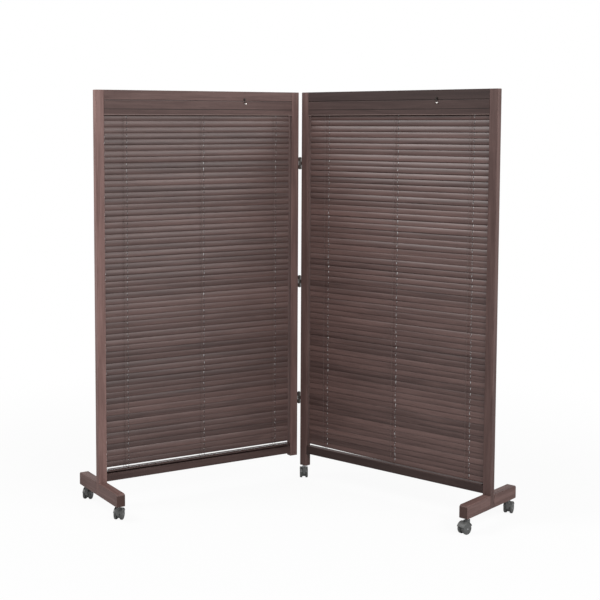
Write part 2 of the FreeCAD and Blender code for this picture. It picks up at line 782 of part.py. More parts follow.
def ladder(name):
    """A ladder cord seen from its side, as the outlines of its two strings and of a rung under each slat."""
    tilt = math.radians(float(S.slat_tilt))
    half_width, underside = float(S.slat_width) / 2, float(S.slat_thickness / 2 + S.slat_crown)
    gap, rung, string = float(S.string_gap), float(S.rung_size), float(S.string_size)
    slat_reach = half_width * math.cos(tilt) + underside * math.sin(tilt)
    inside = slat_reach + rung + gap
    outside = inside + string
    lowest = slat_drop() + gap
    upper = rung_outline(inside, underside + gap, -lowest)
    lower = rung_outline(inside, underside + gap + rung, -lowest - rung)
    levels = slat_levels(name)
    # The strings leave the drum side by side with it and spread over the first rung.
    drum_in = float(S.drum_diameter) / 2 + gap
    drum_out = drum_in + string
    neck = float(CHANNEL_BOTTOM)
    shoulder = levels[0] + upper[0][1] + string
    # Below the last rung they spread again to pass outside the spare slats and end beside the bottom bar.
    knee = levels[-1] - lowest - rung - gap
    spread = stack_top(name) + gap
    tail_in = half_width + gap
    tail_out = tail_in + string
    tail_end = float(RAIL_TOP) + string
    back_string = [
        (drum_in, float(ROD_HEIGHT)),
        (drum_out, float(ROD_HEIGHT)),
        (drum_out, neck),
        (outside, shoulder),
        (outside, knee),
        (tail_out, spread + string),
        (tail_out, tail_end),
        (tail_in, tail_end),
        (tail_in, spread),
        (inside, knee - string),
        (inside, shoulder),
        (drum_in, neck),
    ]
    front_string = [(-y, z) for y, z in back_string]
    rungs = [[(y, z + level) for y, z in upper + lower[::-1]] for level in levels]
    return [back_string, front_string] + rungs


def ladder_cords(name):
    """The three ladder cords that carry the slats, from the drums down to the bottom bar."""
    shapes = []
    for x in STATIONS:
        place = at(x - S.string_size / 2, MID_DEPTH, 0)
        for outline in ladder(name):
            edge = Part.makePolygon([vector(0, y, z) for y, z in outline + outline[:1]])
            piece = Part.Face(edge).extrude(vector(S.string_size, 0, 0))
            piece.Placement = place
            shapes.append(piece)
    return group(name, shapes)


def lift_cords(name):
    """The cords that run down through the slats' slots, from the cradles to the bottom bar."""
    turn = math.radians(float(of_side(name, "stack_tilt")))
    above = (float(S.bottom_bar_height) + float(S.lift_cord_diameter) * math.sin(turn)) / 2 / math.cos(turn)
    end = bar_level(name) + above
    cord = bar(f"{name}_one", S.lift_cord_diameter / 2, CHANNEL_BOTTOM + S.cradle_lift - end)
    return group(name, copies(cord, [at(x + S.lift_cord_offset, MID_DEPTH, end) for x in STATIONS]))


def hinge_leaf(name, side):
    """One hinge leaf about the pin's middle: side is -1 for the left leaf, which has two knuckles, else 1."""
    third = S.hinge_height / 3
    half_gap = S.knuckle_gap / 2
    inner = S.hinge_gap / 2 - S.leaf_thickness
    left = inner if side > 0 else -S.hinge_gap / 2
    plate = box(
        f"{name}_plate", S.leaf_thickness, S.leaf_width, S.hinge_height, left, S.leaf_start, -S.hinge_height / 2
    )
    outer_length = third - half_gap
    spans = [(-third / 2 + half_gap, third - S.knuckle_gap)]
    if side < 0:
        spans = [(-S.hinge_height / 2, outer_length), (third / 2 + half_gap, outer_length)]
    pieces = [plate]
    web_reach = S.leaf_start - S.leaf_thickness / 2
    for step, (start, length) in enumerate(spans):
        pieces.append(bar(f"{name}_knuckle_{step}", S.barrel_diameter / 2, length, z=start))
        depth = S.leaf_start + web_reach + S.leaf_thickness
        pieces.append(box(f"{name}_web_{step}", S.leaf_thickness, depth, length, left, -web_reach, start))
    leaf = fuse(f"{name}_blank", *pieces)
    tools = [bar(f"{name}_bore", S.pin_diameter / 2 + S.fit_slack, S.hinge_height, z=-S.hinge_height / 2)]
    for half in (-0.5, 0.5):
        radius = S.hinge_screw_diameter / 2 + S.fit_slack
        height = half * S.hinge_screw_spacing
        hole = f"{name}_hole_{len(tools)}"
        tools.append(bar(hole, radius, S.leaf_thickness, left, PLATE_MIDDLE, height, "x"))
    return cut(name, leaf, *tools)


def hinge_leaves(name, side, pin_x):
    """The leaves of the three hinges on one panel."""
    return group(name, copies(hinge_leaf(f"{name}_one", side), [at(pin_x, 0, z) for z in HINGE_HEIGHTS]))


def hinge_screws(name, side, pin_x):
    """The pan-head screws of one panel's leaves, drawn with the head's underside at x = 0."""
    shank_length = S.hinge_screw_length + S.leaf_thickness
    head = bar(f"{name}_head", S.screw_head_diameter / 2, S.screw_head_height, axis="x")
    shank = bar(f"{name}_shank", S.hinge_screw_diameter / 2, shank_length, -shank_length, axis="x")
    screw = fuse(f"{name}_one", head, shank)
    seat = pin_x + side * (S.hinge_gap / 2 - S.leaf_thickness)
    turn = 180 if side > 0 else 0
    return group(name, copies(screw, [at(seat, PLATE_MIDDLE, z, turn) for z in SCREW_HEIGHTS]))


def hinge_pins(name, pin_x):
    """The three hinge pins, with a head at each end."""
    half = S.hinge_height / 2
    shaft = bar(f"{name}_shaft", S.pin_diameter / 2, S.hinge_height, z=-half)
    radius = S.pin_head_diameter / 2
    top = bar(f"{name}_top", radius, S.pin_head_height, z=half)
    bottom = bar(f"{name}_bottom", radius, S.pin_head_height, z=-half - S.pin_head_height)
    pin = fuse(f"{name}_one", shaft, top, bottom)
    return group(name, copies(pin, [at(pin_x, 0, z) for z in HINGE_HEIGHTS]))


def caster_hood(name):
    """The moulded body of a caster about its swivel axis, with the wheels behind it at negative x."""
    axle_x = -S.caster_trail
    width = 2 * (S.wheel_width + S.wheel_side_gap) + S.web_width
    inner = WHEEL_RADIUS + S.hood_gap
    outer = inner + S.hood_thickness
    half_web = S.web_width / 2
    boss_radius = S.boss_diameter / 2
    boss = bar(f"{name}_boss", boss_radius, S.boss_height, z=S.hood_top_height - S.boss_height)
    web = bar(f"{name}_web", S.web_diameter / 2, S.web_width, axle_x, -half_web, WHEEL_RADIUS, "y")
    reach = S.caster_trail + boss_radius
    rise = S.hood_top_height - WHEEL_RADIUS
    neck = box(f"{name}_neck", reach, S.web_width, rise, axle_x, -half_web, WHEEL_RADIUS)
    over = bar(f"{name}_over", outer, width, axle_x, -width / 2, WHEEL_RADIUS, "y")
    under = bar(f"{name}_under", inner, width, axle_x, -width / 2, WHEEL_RADIUS, "y")
    above = box(
        f"{name}_above", 2 * outer, width, 2 * outer, axle_x - outer, -width / 2, S.hood_skirt_height
    )
    fender = doc.addObject("Part::Common", f"{name}_fender")
    fender.Base = cut(f"{name}_ring", over, under)
    fender.Tool = above
    blank = fuse(f"{name}_blank", boss, web, neck, fender)
    axle_bore = S.axle_diameter / 2 + S.fit_slack
    axle_hole = bar(f"{name}_axle_hole", axle_bore, S.web_width, axle_x, -half_web, WHEEL_RADIUS, "y")
    stem_bore = S.stem_diameter / 2 + S.fit_slack
    seat = S.hood_top_height - S.stem_seat
    stem_hole = bar(f"{name}_stem_hole", stem_bore, S.stem_seat, z=seat)
    return cut(name, blank, axle_hole, stem_hole)


def caster_pins(name):
    """The steel stem and axle of a caster."""
    seat = S.hood_top_height - S.stem_seat
    length = S.caster_height + S.stem_depth - S.stem_end_gap - seat
    stem = bar(f"{name}_stem", S.stem_diameter / 2, length)
    span = 2 * (S.wheel_width + S.wheel_side_gap) + S.web_width
    axle = bar(f"{name}_axle", S.axle_diameter / 2, span, axis="y")
    shapes = copies(stem, [at(0, 0, seat)])
    shapes += copies(axle, [at(-S.caster_trail, -span / 2, WHEEL_RADIUS)])
    return group(name, shapes)


def caster_wheel(name):
    """A wheel with a rounded tread, on an axle along y, from y = 0 backwards."""
    body = doc.addObject("PartDesign::Body", name)
    side = sketch(body, f"{name}_side", "XZ_Plane")
    circle(side, S.wheel_diameter)
    circle(side, S.axle_diameter + 2 * S.fit_slack)
    disc = pad(body, side, S.wheel_width)
    tread = math.pi * float(S.wheel_diameter)
    round_edges(body, disc, S.wheel_edge_radius, lambda edge: edge.isClosed() and edge.Length > tread / 2)
    return body


def caster(name, place):
    """A twin-wheel swivel caster: hood, steel pins and two wheels."""
    keep(caster_hood(f"{name}_hood"), f"{name}_hood", place)
    keep(caster_pins(f"{name}_pins"), f"{name}_pins", place)
    side = S.web_width / 2 + S.wheel_side_gap
    for label, y in (("near_wheel", -side), ("far_wheel", side + S.wheel_width)):
        spot = at(-S.caster_trail, y, WHEEL_RADIUS)
        keep(caster_wheel(f"{name}_{label}"), f"{name}_{label}", place.multiply(spot))


def panel(side, carrier, pin_x):
    """One panel with its foot, blind and hinge leaves. The left panel's outer end is on the left."""
    on_left = side == "left"
    straight = carrier
    reversed_post = carrier.multiply(at(S.panel_width, S.frame_depth, 0, 180))
    outer_place, inner_place = (straight, reversed_post) if on_left else (reversed_post, straight)

    stile_foot = outer_place.multiply(at(0, 0, S.caster_height))
    keep(outer_post(f"{side}_outer_post"), f"{side}_outer_post", stile_foot)
    short_end = RAIL_BOTTOM - S.short_post_tail
    inner_end = short_end if on_left else S.caster_height
    screw_depth = S.frame_depth - PLATE_MIDDLE if on_left else PLATE_MIDDLE
    stile = inner_post(f"{side}_inner_post", inner_end, screw_depth)
    if not on_left:
        stem_socket(stile, f"{side}_inner_socket", S.middle_stem_place, MID_DEPTH)
    keep(stile, f"{side}_inner_post", inner_place.multiply(at(0, 0, inner_end)))

    keep(top_rail(f"{side}_top_rail"), f"{side}_top_rail",
         carrier.multiply(at(S.post_width, S.rail_recess, TOP_RAIL_BOTTOM)))
    lower = rail(f"{side}_bottom_rail", S.bottom_rail_height, S.bottom_rail_height / 2)
    keep(lower, f"{side}_bottom_rail", carrier.multiply(at(S.post_width, S.rail_recess, RAIL_BOTTOM)))
    foot_front = (S.frame_depth - S.foot_length) / 2
    keep(foot(f"{side}_foot"), f"{side}_foot", outer_place.multiply(at(0, foot_front, S.caster_height)))
    keep(dowels(f"{side}_dowels", side), f"{side}_dowels", carrier)

    makers = {
        "head_channel": head_channel,
        "valance": valance,
        "tilt_rod": tilt_rod,
        "tilt_drums": drums_and_wheel,
        "drum_cradles": cradles,
        "tilter_housing": tilter_housing,
        "tilter_hook": tilter_hook,
        "slats": slats,
        "bottom_bar": bottom_bar,
        "ladder_cords": ladder_cords,
        "lift_cords": lift_cords,
    }
    for label, maker in makers.items():
        keep(maker(f"{side}_{label}"), f"{side}_{label}", carrier)

    hand = -1 if on_left else 1
    keep(hinge_leaves(f"{side}_hinge_leaves", hand, pin_x), f"{side}_hinge_leaves", carrier)
    keep(hinge_screws(f"{side}_hinge_screws", hand, pin_x), f"{side}_hinge_screws", carrier)

    foot_middle = S.foot_width / 2 if on_left else S.panel_width - S.foot_width / 2
    spread = S.foot_length / 2 - S.caster_inset
    for end, way in (("front", -1), ("rear", 1)):
        turn = getattr(S, f"{side}_{end}_caster_angle")
        spot = at(foot_middle, MID_DEPTH + way * spread, 0, turn)
        caster(f"{side}_{end}_caster", carrier.multiply(spot))


# The pin stands at the origin while the panels are placed: each panel is turned about it.
LEFT_PIN = S.panel_width + S.hinge_gap / 2
RIGHT_PIN = -S.hinge_gap / 2
LEFT = at(0, 0, 0, S.panel_angle).multiply(at(-LEFT_PIN, 0, 0))
RIGHT = at(0, 0, 0, -S.panel_angle).multiply(at(-RIGHT_PIN, 0, 0))
panel("left", LEFT, LEFT_PIN)
panel("right", RIGHT, RIGHT_PIN)
keep(hinge_pins("hinge_pins", RIGHT_PIN), "hinge_pins", RIGHT)
caster("middle_caster", RIGHT.multiply(at(S.middle_stem_place, MID_DEPTH, 0, S.middle_caster_angle)))
doc.recompute()

# The origin is the middle of the ground that the screen covers.
covered = FreeCAD.BoundBox()
for node in nodes:
    covered.add(node.Shape.optimalBoundingBox(False, False))
shift = at(-covered.Center.x, -covered.Center.y, 0)
for node in nodes:
    node.Placement = shift.multiply(node.Placement)
doc.recompute()

for item in doc.Objects:
    if "Invalid" in item.State or "Error" in item.State:
        raise RuntimeError(f"{item.Label} failed: {item.State}")
os.makedirs("parts", exist_ok=True)
for node in nodes:
    if node.Shape.isNull() or not node.Shape.isValid():
        raise RuntimeError(f"{node.Label} has no valid shape")
    node.Shape.exportStep(f"parts/{node.Label}.step")
print(f"{len(nodes)} sub-parts, hinge pin at x {shift.Base.x:.4f}, y {shift.Base.y:.4f}")
print(f"covers {covered.XLength:.2f} by {covered.YLength:.2f}, height {covered.ZLength:.2f}")
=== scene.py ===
"""Looks of a two-panel folding screen: wooden frames on casters, each with a slatted blind in it."""

import json
import logging
import math
from dataclasses import dataclass, field, replace
from enum import Enum
from typing import Any, Optional, Sequence, Union

import bpy
import numpy as np
from mathutils import Matrix


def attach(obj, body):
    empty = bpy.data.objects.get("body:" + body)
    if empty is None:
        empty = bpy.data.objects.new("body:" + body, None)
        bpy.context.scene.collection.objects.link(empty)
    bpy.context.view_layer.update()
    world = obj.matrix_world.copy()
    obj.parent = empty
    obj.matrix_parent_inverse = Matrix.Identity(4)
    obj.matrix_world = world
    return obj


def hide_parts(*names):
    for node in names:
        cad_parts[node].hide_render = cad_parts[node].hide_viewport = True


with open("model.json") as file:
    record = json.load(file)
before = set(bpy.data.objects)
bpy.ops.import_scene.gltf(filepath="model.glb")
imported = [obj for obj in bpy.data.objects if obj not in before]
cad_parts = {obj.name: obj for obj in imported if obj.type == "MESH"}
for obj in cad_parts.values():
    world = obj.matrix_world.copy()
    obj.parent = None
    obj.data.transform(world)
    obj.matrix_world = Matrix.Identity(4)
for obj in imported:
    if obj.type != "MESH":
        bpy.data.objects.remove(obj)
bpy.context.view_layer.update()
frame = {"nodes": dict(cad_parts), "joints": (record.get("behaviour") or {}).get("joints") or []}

LOG = logging.getLogger("folding_screen")
# Each panel's turn from flat in degrees, its width, and how far the hinge pin stands off its end in metres
HALF_FOLD = 35.75
PANEL_WIDTH = 0.840
PIN_GAP = 0.0065
Colour = tuple[float, float, float]
Point = tuple[float, float, float]
Pair = tuple[float, float]
Amount = Union[float, np.ndarray]
Faces = Sequence[np.ndarray]
Socket = bpy.types.NodeSocket
Material = bpy.types.Material
Piece = bpy.types.Object
Settings = Optional[dict[str, Any]]
Inputs = Optional[dict[Union[int, str], Any]]
WHITE = (1.0, 1.0, 1.0, 1.0)


class Side(Enum):
    """The two panels, as one sees them from the front."""

    LEFT = "left"
    RIGHT = "right"


class Run(Enum):
    """The way that a piece's wood grain runs in its panel, and the axis that this is."""

    ACROSS = 0
    FORWARD = 1
    UPRIGHT = 2


# Meshes


def put_mesh(name: str, points: np.ndarray, faces: Faces, finish: Material, crease: float = 0.0) -> Piece:
    """Makes an object from whole arrays, with its place in its mesh.

    Args:
        name: The piece's name.
        points: The vertices, in metres in the row frame.
        faces: Arrays of vertex numbers, one row for each face, one array for each number of corners.
        finish: The piece's material.
        crease: The angle in degrees up to which edges are shaded round. At 0 all faces stay flat.

    Returns:
        The new object, linked to the scene.
    """
    flat = [np.asarray(rows, np.int32) for rows in faces]
    totals = np.concatenate([np.full(len(rows), rows.shape[1], np.int32) for rows in flat])
    corners = np.concatenate([rows.ravel() for rows in flat])
    starts = np.concatenate([[0], np.cumsum(totals)[:-1]]).astype(np.int32)
    mesh = bpy.data.meshes.new(name)
    mesh.vertices.add(len(points))
    mesh.vertices.foreach_set("co", np.asarray(points, np.float32).ravel())
    mesh.loops.add(len(corners))
    mesh.loops.foreach_set("vertex_index", corners)
    mesh.polygons.add(len(totals))
    mesh.polygons.foreach_set("loop_start", starts)
    mesh.update(calc_edges=True)
    mesh.validate()
    if crease:
        mesh.polygons.foreach_set("use_smooth", np.ones(len(mesh.polygons), bool))
        mesh.set_sharp_from_angle(angle=math.radians(crease))
    mesh.materials.append(finish)
    made = bpy.data.objects.new(name, mesh)
    bpy.context.scene.collection.objects.link(made)
    LOG.info("%s: %d points, %d faces", name, len(points), len(totals))
    return made


def put_attribute(piece: Piece, name: str, values: np.ndarray) -> None:
    """Stores a number or a vector for each point of a piece.

    Args:
        piece: The piece.
        name: The attribute's name.
        values: One row for each point, with one or three numbers.
    """
    single = values.ndim == 1
    made = piece.data.attributes.new(name, "FLOAT" if single else "FLOAT_VECTOR", "POINT")
    made.data.foreach_set("value" if single else "vector", values.astype(np.float32).ravel())


def tubes(paths: np.ndarray, radius: float, sides: int) -> tuple[np.ndarray, list[np.ndarray], np.ndarray]:
    """Carries a regular polygon along many paths at once.

    Each path lies in a plane across the panel, so the polygon is spanned by the panel's x and by the
    path's own normal, which is its direction turned by a right angle in that plane:
    point = path + radius * (cos a * x + sin a * normal).

    Args:
        paths: An array of paths, points along each and coordinates in the panel's frame.
        radius: The tube's radius.
        sides: The polygon's corners.

    Returns:
        The points, the faces with both ends closed, and each point's distance along its path.
    """
    count, steps = paths.shape[:2]
    way = np.gradient(paths, axis=1)
    way /= np.linalg.norm(way, axis=2, keepdims=True)
    normal = np.stack([np.zeros_like(way[..., 0]), way[..., 2], -way[..., 1]], -1)
    turn = np.arange(sides) * 2 * np.pi / sides + np.pi / sides
    ring = np.cos(turn)[:, None] * np.array([1.0, 0.0, 0.0]) + np.sin(turn)[:, None] * normal[:, :, None, :]
    points = (paths[:, :, None, :] + radius * ring).reshape(-1, 3)
    number = np.arange(count * steps * sides).reshape(count, steps, sides)
    after = np.roll(number, -1, axis=2)
    walls = np.stack([number[:, :-1], number[:, 1:], after[:, 1:], after[:, :-1]], -1).reshape(-1, 4)
    caps = np.concatenate([number[:, 0, :], number[:, -1, ::-1]])
    gaps = np.linalg.norm(np.diff(paths, axis=1), axis=2)
    along = np.concatenate([np.zeros((count, 1)), np.cumsum(gaps, axis=1)], axis=1)
    return points, [walls, caps], np.repeat(along.ravel(), sides)


# Shader nodes


class Value:
    """A number in a node tree. Arithmetic on it adds Math nodes."""

    def __init__(self, nodes: "Nodes", socket: Socket) -> None:
        """Wraps a socket of a tree."""
        self.nodes, self.socket = nodes, socket

    def maths(self, operation: str, first: "Number", second: "Number") -> "Value":
        """Adds one Math node.

        Args:
            operation: The node's operation.
            first: Its first number.
            second: Its second number.

        Returns:
            The result.
        """
        return self.nodes.value("ShaderNodeMath", {"operation": operation}, {0: first, 1: second})

    def __add__(self, other: "Number") -> "Value":
        """The sum."""
        return self.maths("ADD", self, other)

    def __radd__(self, other: "Number") -> "Value":
        """The sum, with the number first."""
        return self.maths("ADD", other, self)

    def __sub__(self, other: "Number") -> "Value":
        """The difference."""
        return self.maths("SUBTRACT", self, other)

    def __rsub__(self, other: "Number") -> "Value":
        """The difference, with the number first."""
        return self.maths("SUBTRACT", other, self)

    def __mul__(self, other: "Number") -> "Value":
        """The product."""
        return self.maths("MULTIPLY", self, other)

    def step(self, low: float, high: float) -> "Value":
        """Rises smoothly from 0 to 1 between two values of this number.

        Args:
            low: Where the rise starts.
            high: Where it ends.

        Returns:
            The risen number.
        """
        settings = {"interpolation_type": "SMOOTHSTEP"}
        inputs = {"Value": self, "From Min": low, "From Max": high}
        return self.nodes.value("ShaderNodeMapRange", settings, inputs)


Number = Union[float, int, Value]


class Nodes:
    """The node tree of one material or of the world."""

    def __init__(self, owner: Union[Material, bpy.types.World]) -> None:
        """Empties the owner's tree.

        Args:
            owner: The material or the world.
        """
        owner.use_nodes = True
        self.tree = owner.node_tree
        self.tree.nodes.clear()

    def node(self, kind: str, settings: Settings = None, inputs: Inputs = None) -> bpy.types.Node:
        """Adds a node.

        Args:
            kind: The node's type.
            settings: Its properties, set first.
            inputs: The numbers, colours or links of its sockets, by name or number.

        Returns:
            The node.
        """
        made = self.tree.nodes.new(kind)
        for key, value in (settings or {}).items():
            setattr(made, key, value)
        for key, value in (inputs or {}).items():
            socket = made.inputs[key]
            if isinstance(value, Value):
                value = value.socket
            if isinstance(value, Socket):
                self.tree.links.new(value, socket)
            else:
                socket.default_value = value
        return made

    def value(
        self, kind: str, settings: Settings = None, inputs: Inputs = None, output: Union[int, str] = 0
    ) -> Value:
        """Adds a node and gives one of its outputs as a number.

        Args:
            kind: The node's type.
            settings: Its properties.
            inputs: Its sockets' values or links.
            output: The output's name or number.

        Returns:
            The output.
        """
        return Value(self, self.node(kind, settings, inputs).outputs[output])

    def mix(self, share: Number, first: Any, second: Any) -> Socket:
        """Blends two colours.

        Args:
            share: How much of the second one shows.
            first: A colour or a socket.
            second: A colour or a socket.

        Returns:
            The blend.
        """
        ends = [(*end, 1.0) if isinstance(end, tuple) else end for end in (first, second)]
        inputs = {0: share, 6: ends[0], 7: ends[1]}
        return self.node("ShaderNodeMix", {"data_type": "RGBA"}, inputs).outputs[2]

    def spot(self) -> Socket:
        """The place on the piece, in the row frame."""
        return self.node("ShaderNodeTexCoord").outputs["Object"]

    def height(self) -> Value:
        """The height of the place on the piece."""
        return self.value("ShaderNodeSeparateXYZ", None, {0: self.spot()}, "Z")

    def turned(self, turn: float) -> Socket:
        """The place on the piece, along the axes of a panel with this turn in radians."""
        inputs = {"Vector": self.spot(), "Rotation": (0.0, 0.0, -turn)}
        return self.node("ShaderNodeMapping", None, inputs).outputs[0]

    def stretched(self, place: Socket, scale: Sequence[float]) -> Socket:
        """Multiplies a place by a scale for each axis."""
        settings = {"operation": "MULTIPLY"}
        return self.node("ShaderNodeVectorMath", settings, {0: place, 1: tuple(scale)}).outputs[0]

    def noise(self, place: Socket, scale: Sequence[float], detail: float = 2.0, bend: float = 0.0) -> Value:
        """Adds a soft random pattern.

        Args:
            place: The coordinates that it follows.
            scale: Spots in a metre, for each axis.
            detail: How many finer patterns are added.
            bend: How far it is bent by itself.

        Returns:
            The pattern, from 0 to 1.
        """
        spots = self.stretched(place, scale)
        inputs = {"Vector": spots, "Scale": 1.0, "Detail": detail, "Distortion": bend}
        return self.value("ShaderNodeTexNoise", {"noise_dimensions": "3D"}, inputs)

    def relief(self, height: Value, strength: float, distance: float = 0.0002) -> Socket:
        """Turns a height into a bumped normal."""
        inputs = {"Strength": strength, "Distance": distance, "Height": height}
        return self.node("ShaderNodeBump", None, inputs).outputs[0]

    def surface(self, inputs: dict[str, Any]) -> None:
        """Ends the tree in one shader with these sockets."""
        shader = self.node("ShaderNodeBsdfPrincipled", None, inputs)
        self.node("ShaderNodeOutputMaterial", None, {"Surface": shader.outputs[0]})


# Finishes


def new_finish(name: str) -> tuple[Material, Nodes]:
    """Makes a material with an empty tree."""
    made = bpy.data.materials.new(name)
    return made, Nodes(made)


@dataclass(frozen=True)
class WoodStain:
    """A dark stain under satin lacquer, with the tones that the grain shows through it.

    Spots are counted in a metre, across and along the grain. A range is where a pattern rises from 0 to 1,
    and a share is how much of it shows.
    """

    dark: Colour = (0.066, 0.037, 0.033)
    middle: Colour = (0.101, 0.059, 0.053)
    light: Colour = (0.138, 0.086, 0.078)
    pore: Colour = (0.034, 0.017, 0.014)
    # Painted highlight for the valance's lower edge
    painted_edge_highlight: Colour = (0.300, 0.220, 0.200)
    # Painted shadow for the valance's groove
    painted_groove_shadow: Colour = (0.010, 0.006, 0.005)
    roughness: float = 0.50
    shine: float = 0.20
    lacquer: float = 0.04
    lacquer_roughness: float = 0.32
    figure_spots: Pair = (46.0, 3.2)
    fibre_spots: Pair = (520.0, 9.0)
    pore_spots: Pair = (1150.0, 34.0)
    figure_range: Pair = (0.30, 0.72)
    fibre_range: Pair = (0.42, 0.78)
    pore_range: Pair = (0.60, 0.72)
    end_range: Pair = (0.60, 0.90)
    figure_share: float = 0.55
    tone_base: float = 0.28
    fibre_share: float = 0.50
    fibre_least: float = 0.25
    pore_share: float = 0.55
    end_share: float = 0.80
    fibre_roughness: float = 0.16
    shade_polish: float = 0.05
    fibre_relief: float = 0.60
    relief_strength: float = 0.12
    relief_depth: float = 0.0003
    line_softness: float = 0.0002

    def toned(self, share: float) -> "WoodStain":
        """The same stain, darker or lighter.

        Args:
            share: What its tones are multiplied by.

        Returns:
            The new stain.
        """
        names = ("dark", "middle", "light", "pore")
        tones = {name: tuple(share * part for part in getattr(self, name)) for name in names}
        return replace(self, **tones)

    def paint(
        self,
        nodes: Nodes,
        place: Socket,
        run: Run,
        tone: Optional[Value] = None,
        ends: Number = 0.0,
        groove: Number = 0.0,
        edge: Number = 0.0,
    ) -> None:
        """Draws broad figure, fibres and pores that are drawn out along the grain.

        Args:
            nodes: The material's tree.
            place: Coordinates in metres, along the panel's axes.
            run: The axis that the grain follows.
            tone: A darker or lighter share for a whole board, about 0.5.
            ends: Where the grain's ends show, which drink more stain, from 0 to 1.
            groove: Where shade is painted into a groove, from 0 to 1.
            edge: Where a highlight is painted along an edge, from 0 to 1.
        """
        figure = nodes.noise(place, self.scale(run, *self.figure_spots), detail=4.0, bend=0.7)
        fibre = nodes.noise(place, self.scale(run, *self.fibre_spots), detail=3.0)
        pore = nodes.noise(place, self.scale(run, *self.pore_spots), detail=1.0).step(*self.pore_range)
        shade = figure.step(*self.figure_range)
        if tone is not None:
            shade = shade * self.figure_share + tone - self.tone_base
        lit = fibre.step(*self.fibre_range) * (shade * self.fibre_share + self.fibre_least)
        grain = nodes.mix(shade, self.dark, self.middle)
        grain = nodes.mix(lit, grain, self.light)
        grain = nodes.mix(pore * self.pore_share, grain, self.pore)
        if isinstance(ends, Value):
            grain = nodes.mix(ends * self.end_share, grain, self.pore)
        # Painted highlight along the edge, then painted shade in the groove
        if isinstance(groove, Value):
            grain = nodes.mix(groove, nodes.mix(edge, grain, self.painted_edge_highlight), self.painted_groove_shadow)
        height = fibre * self.fibre_relief - pore
        nodes.surface(
            {
                "Base Color": grain,
                "Roughness": self.roughness + fibre * self.fibre_roughness - shade * self.shade_polish,
                "Specular IOR Level": self.shine,
                "Coat Weight": self.lacquer,
                "Coat Roughness": self.lacquer_roughness,
                "Normal": nodes.relief(height, self.relief_strength, self.relief_depth),
            }
        )

    def scale(self, run: Run, across: float, along: float) -> list[float]:
        """Spots in a metre for each axis, few of them along the grain."""
        return [along if axis == run.value else across for axis in range(3)]

    def board(self, name: str, run: Run, turn: float) -> Material:
        """Makes the stain for a board of a turned panel.

        Args:
            name: The material's name.
            run: The axis of the panel that the grain follows.
            turn: The panel's turn in radians.

        Returns:
            The material.
        """
        made, nodes = new_finish(name)
        self.paint(nodes, nodes.turned(turn), run, None, self.ends(nodes, run, turn))
        return made

    def ends(self, nodes: Nodes, run: Run, turn: float) -> Value:
        """A mask of the faces that look along the grain.

        Args:
            nodes: The material's tree.
            run: The axis of the panel that the grain follows.
            turn: The panel's turn in radians.

        Returns:
            1 on the grain's ends and 0 on a board's sides.
        """
        way = {
            Run.ACROSS: (math.cos(turn), math.sin(turn), 0.0),
            Run.FORWARD: (-math.sin(turn), math.cos(turn), 0.0),
            Run.UPRIGHT: (0.0, 0.0, 1.0),
        }[run]
        face = nodes.node("ShaderNodeTexCoord").outputs["Normal"]
        settings = {"operation": "DOT_PRODUCT"}
        along = nodes.value("ShaderNodeVectorMath", settings, {0: face, 1: way}, "Value")
        return (along * along).step(*self.end_range)

    def grooved(self, name: str, turn: float, groove: Pair, edge: float) -> Material:
        """Makes the stain for a valance, with painted shade in its groove and a painted highlight along its
        lower edge.

        Args:
            name: The material's name.
            turn: The panel's turn in radians.
            groove: Heights of the groove's lower and upper side.
            edge: Height up to which a highlight is painted along the lower edge.

        Returns:
            The material.
        """
        made, nodes = new_finish(name)
        height, soft = nodes.height(), self.line_softness
        low, high = groove
        # Painted shade in the groove, between its two heights
        dark = height.step(low - soft, low + soft) - height.step(high - soft, high + soft)
        # Painted highlight along the lower edge, below its height
        highlight_mask = 1.0 - height.step(edge - soft, edge + soft)
        ends = self.ends(nodes, Run.ACROSS, turn)
        self.paint(nodes, nodes.turned(turn), Run.ACROSS, None, ends, dark, highlight_mask)
        return made

    def slat(self, name: str) -> Material:
        """Makes the stain for slats, on each slat's own coordinates and tone.

        Args:
            name: The material's name.

        Returns:
            The material.
        """
        made, nodes = new_finish(name)
        place = nodes.node("ShaderNodeAttribute", {"attribute_name": "grain"}).outputs["Vector"]
        tone = nodes.value("ShaderNodeAttribute", {"attribute_name": "tone"}, None, "Fac")
        self.paint(nodes, place, Run.ACROSS, tone)
        return made


@dataclass(frozen=True)
class Metal:
    """Plated or uncoated metal with fine drawn lines, a few dull spots and, where a height is given, a
    painted highlight below it.
    """

    tint: Colour
    dull: Colour
    roughness: float
    lines: Point = (900.0, 900.0, 60.0)
    # A painted highlight below this height, in a pale tint
    highlight_below: Optional[float] = None
    highlight_softness: float = 0.0006
    highlight_tint: Colour = (0.90, 0.88, 0.85)
    dull_spots: float = 160.0
    dull_range: Pair = (0.45, 0.75)
    dull_share: float = 0.60
    line_share: float = 0.25
    dull_roughness: float = 0.12
    line_roughness: float = 0.15
    relief_strength: float = 0.12

    def make(self, name: str) -> Material:
        """Makes the material, with a painted highlight in a pale tint below a given height.

        Args:
            name: Its name.

        Returns:
            The material.
        """
        made, nodes = new_finish(name)
        spot = nodes.spot()
        drawn = nodes.noise(spot, self.lines)
        spots = nodes.noise(spot, (self.dull_spots,) * 3, detail=3.0).step(*self.dull_range)
        colour = nodes.mix(spots * self.dull_share + drawn * self.line_share, self.tint, self.dull)
        # Painted highlight below the given height
        if self.highlight_below is not None:
            low, high = self.highlight_below - self.highlight_softness, self.highlight_below + self.highlight_softness
            colour = nodes.mix(nodes.height().step(low, high), self.highlight_tint, colour)
        nodes.surface(
            {
                "Base Color": colour,
                "Metallic": 1.0,
                "Roughness": self.roughness + drawn * self.line_roughness + spots * self.dull_roughness,
                "Normal": nodes.relief(drawn, self.relief_strength),
            }
        )
        return made


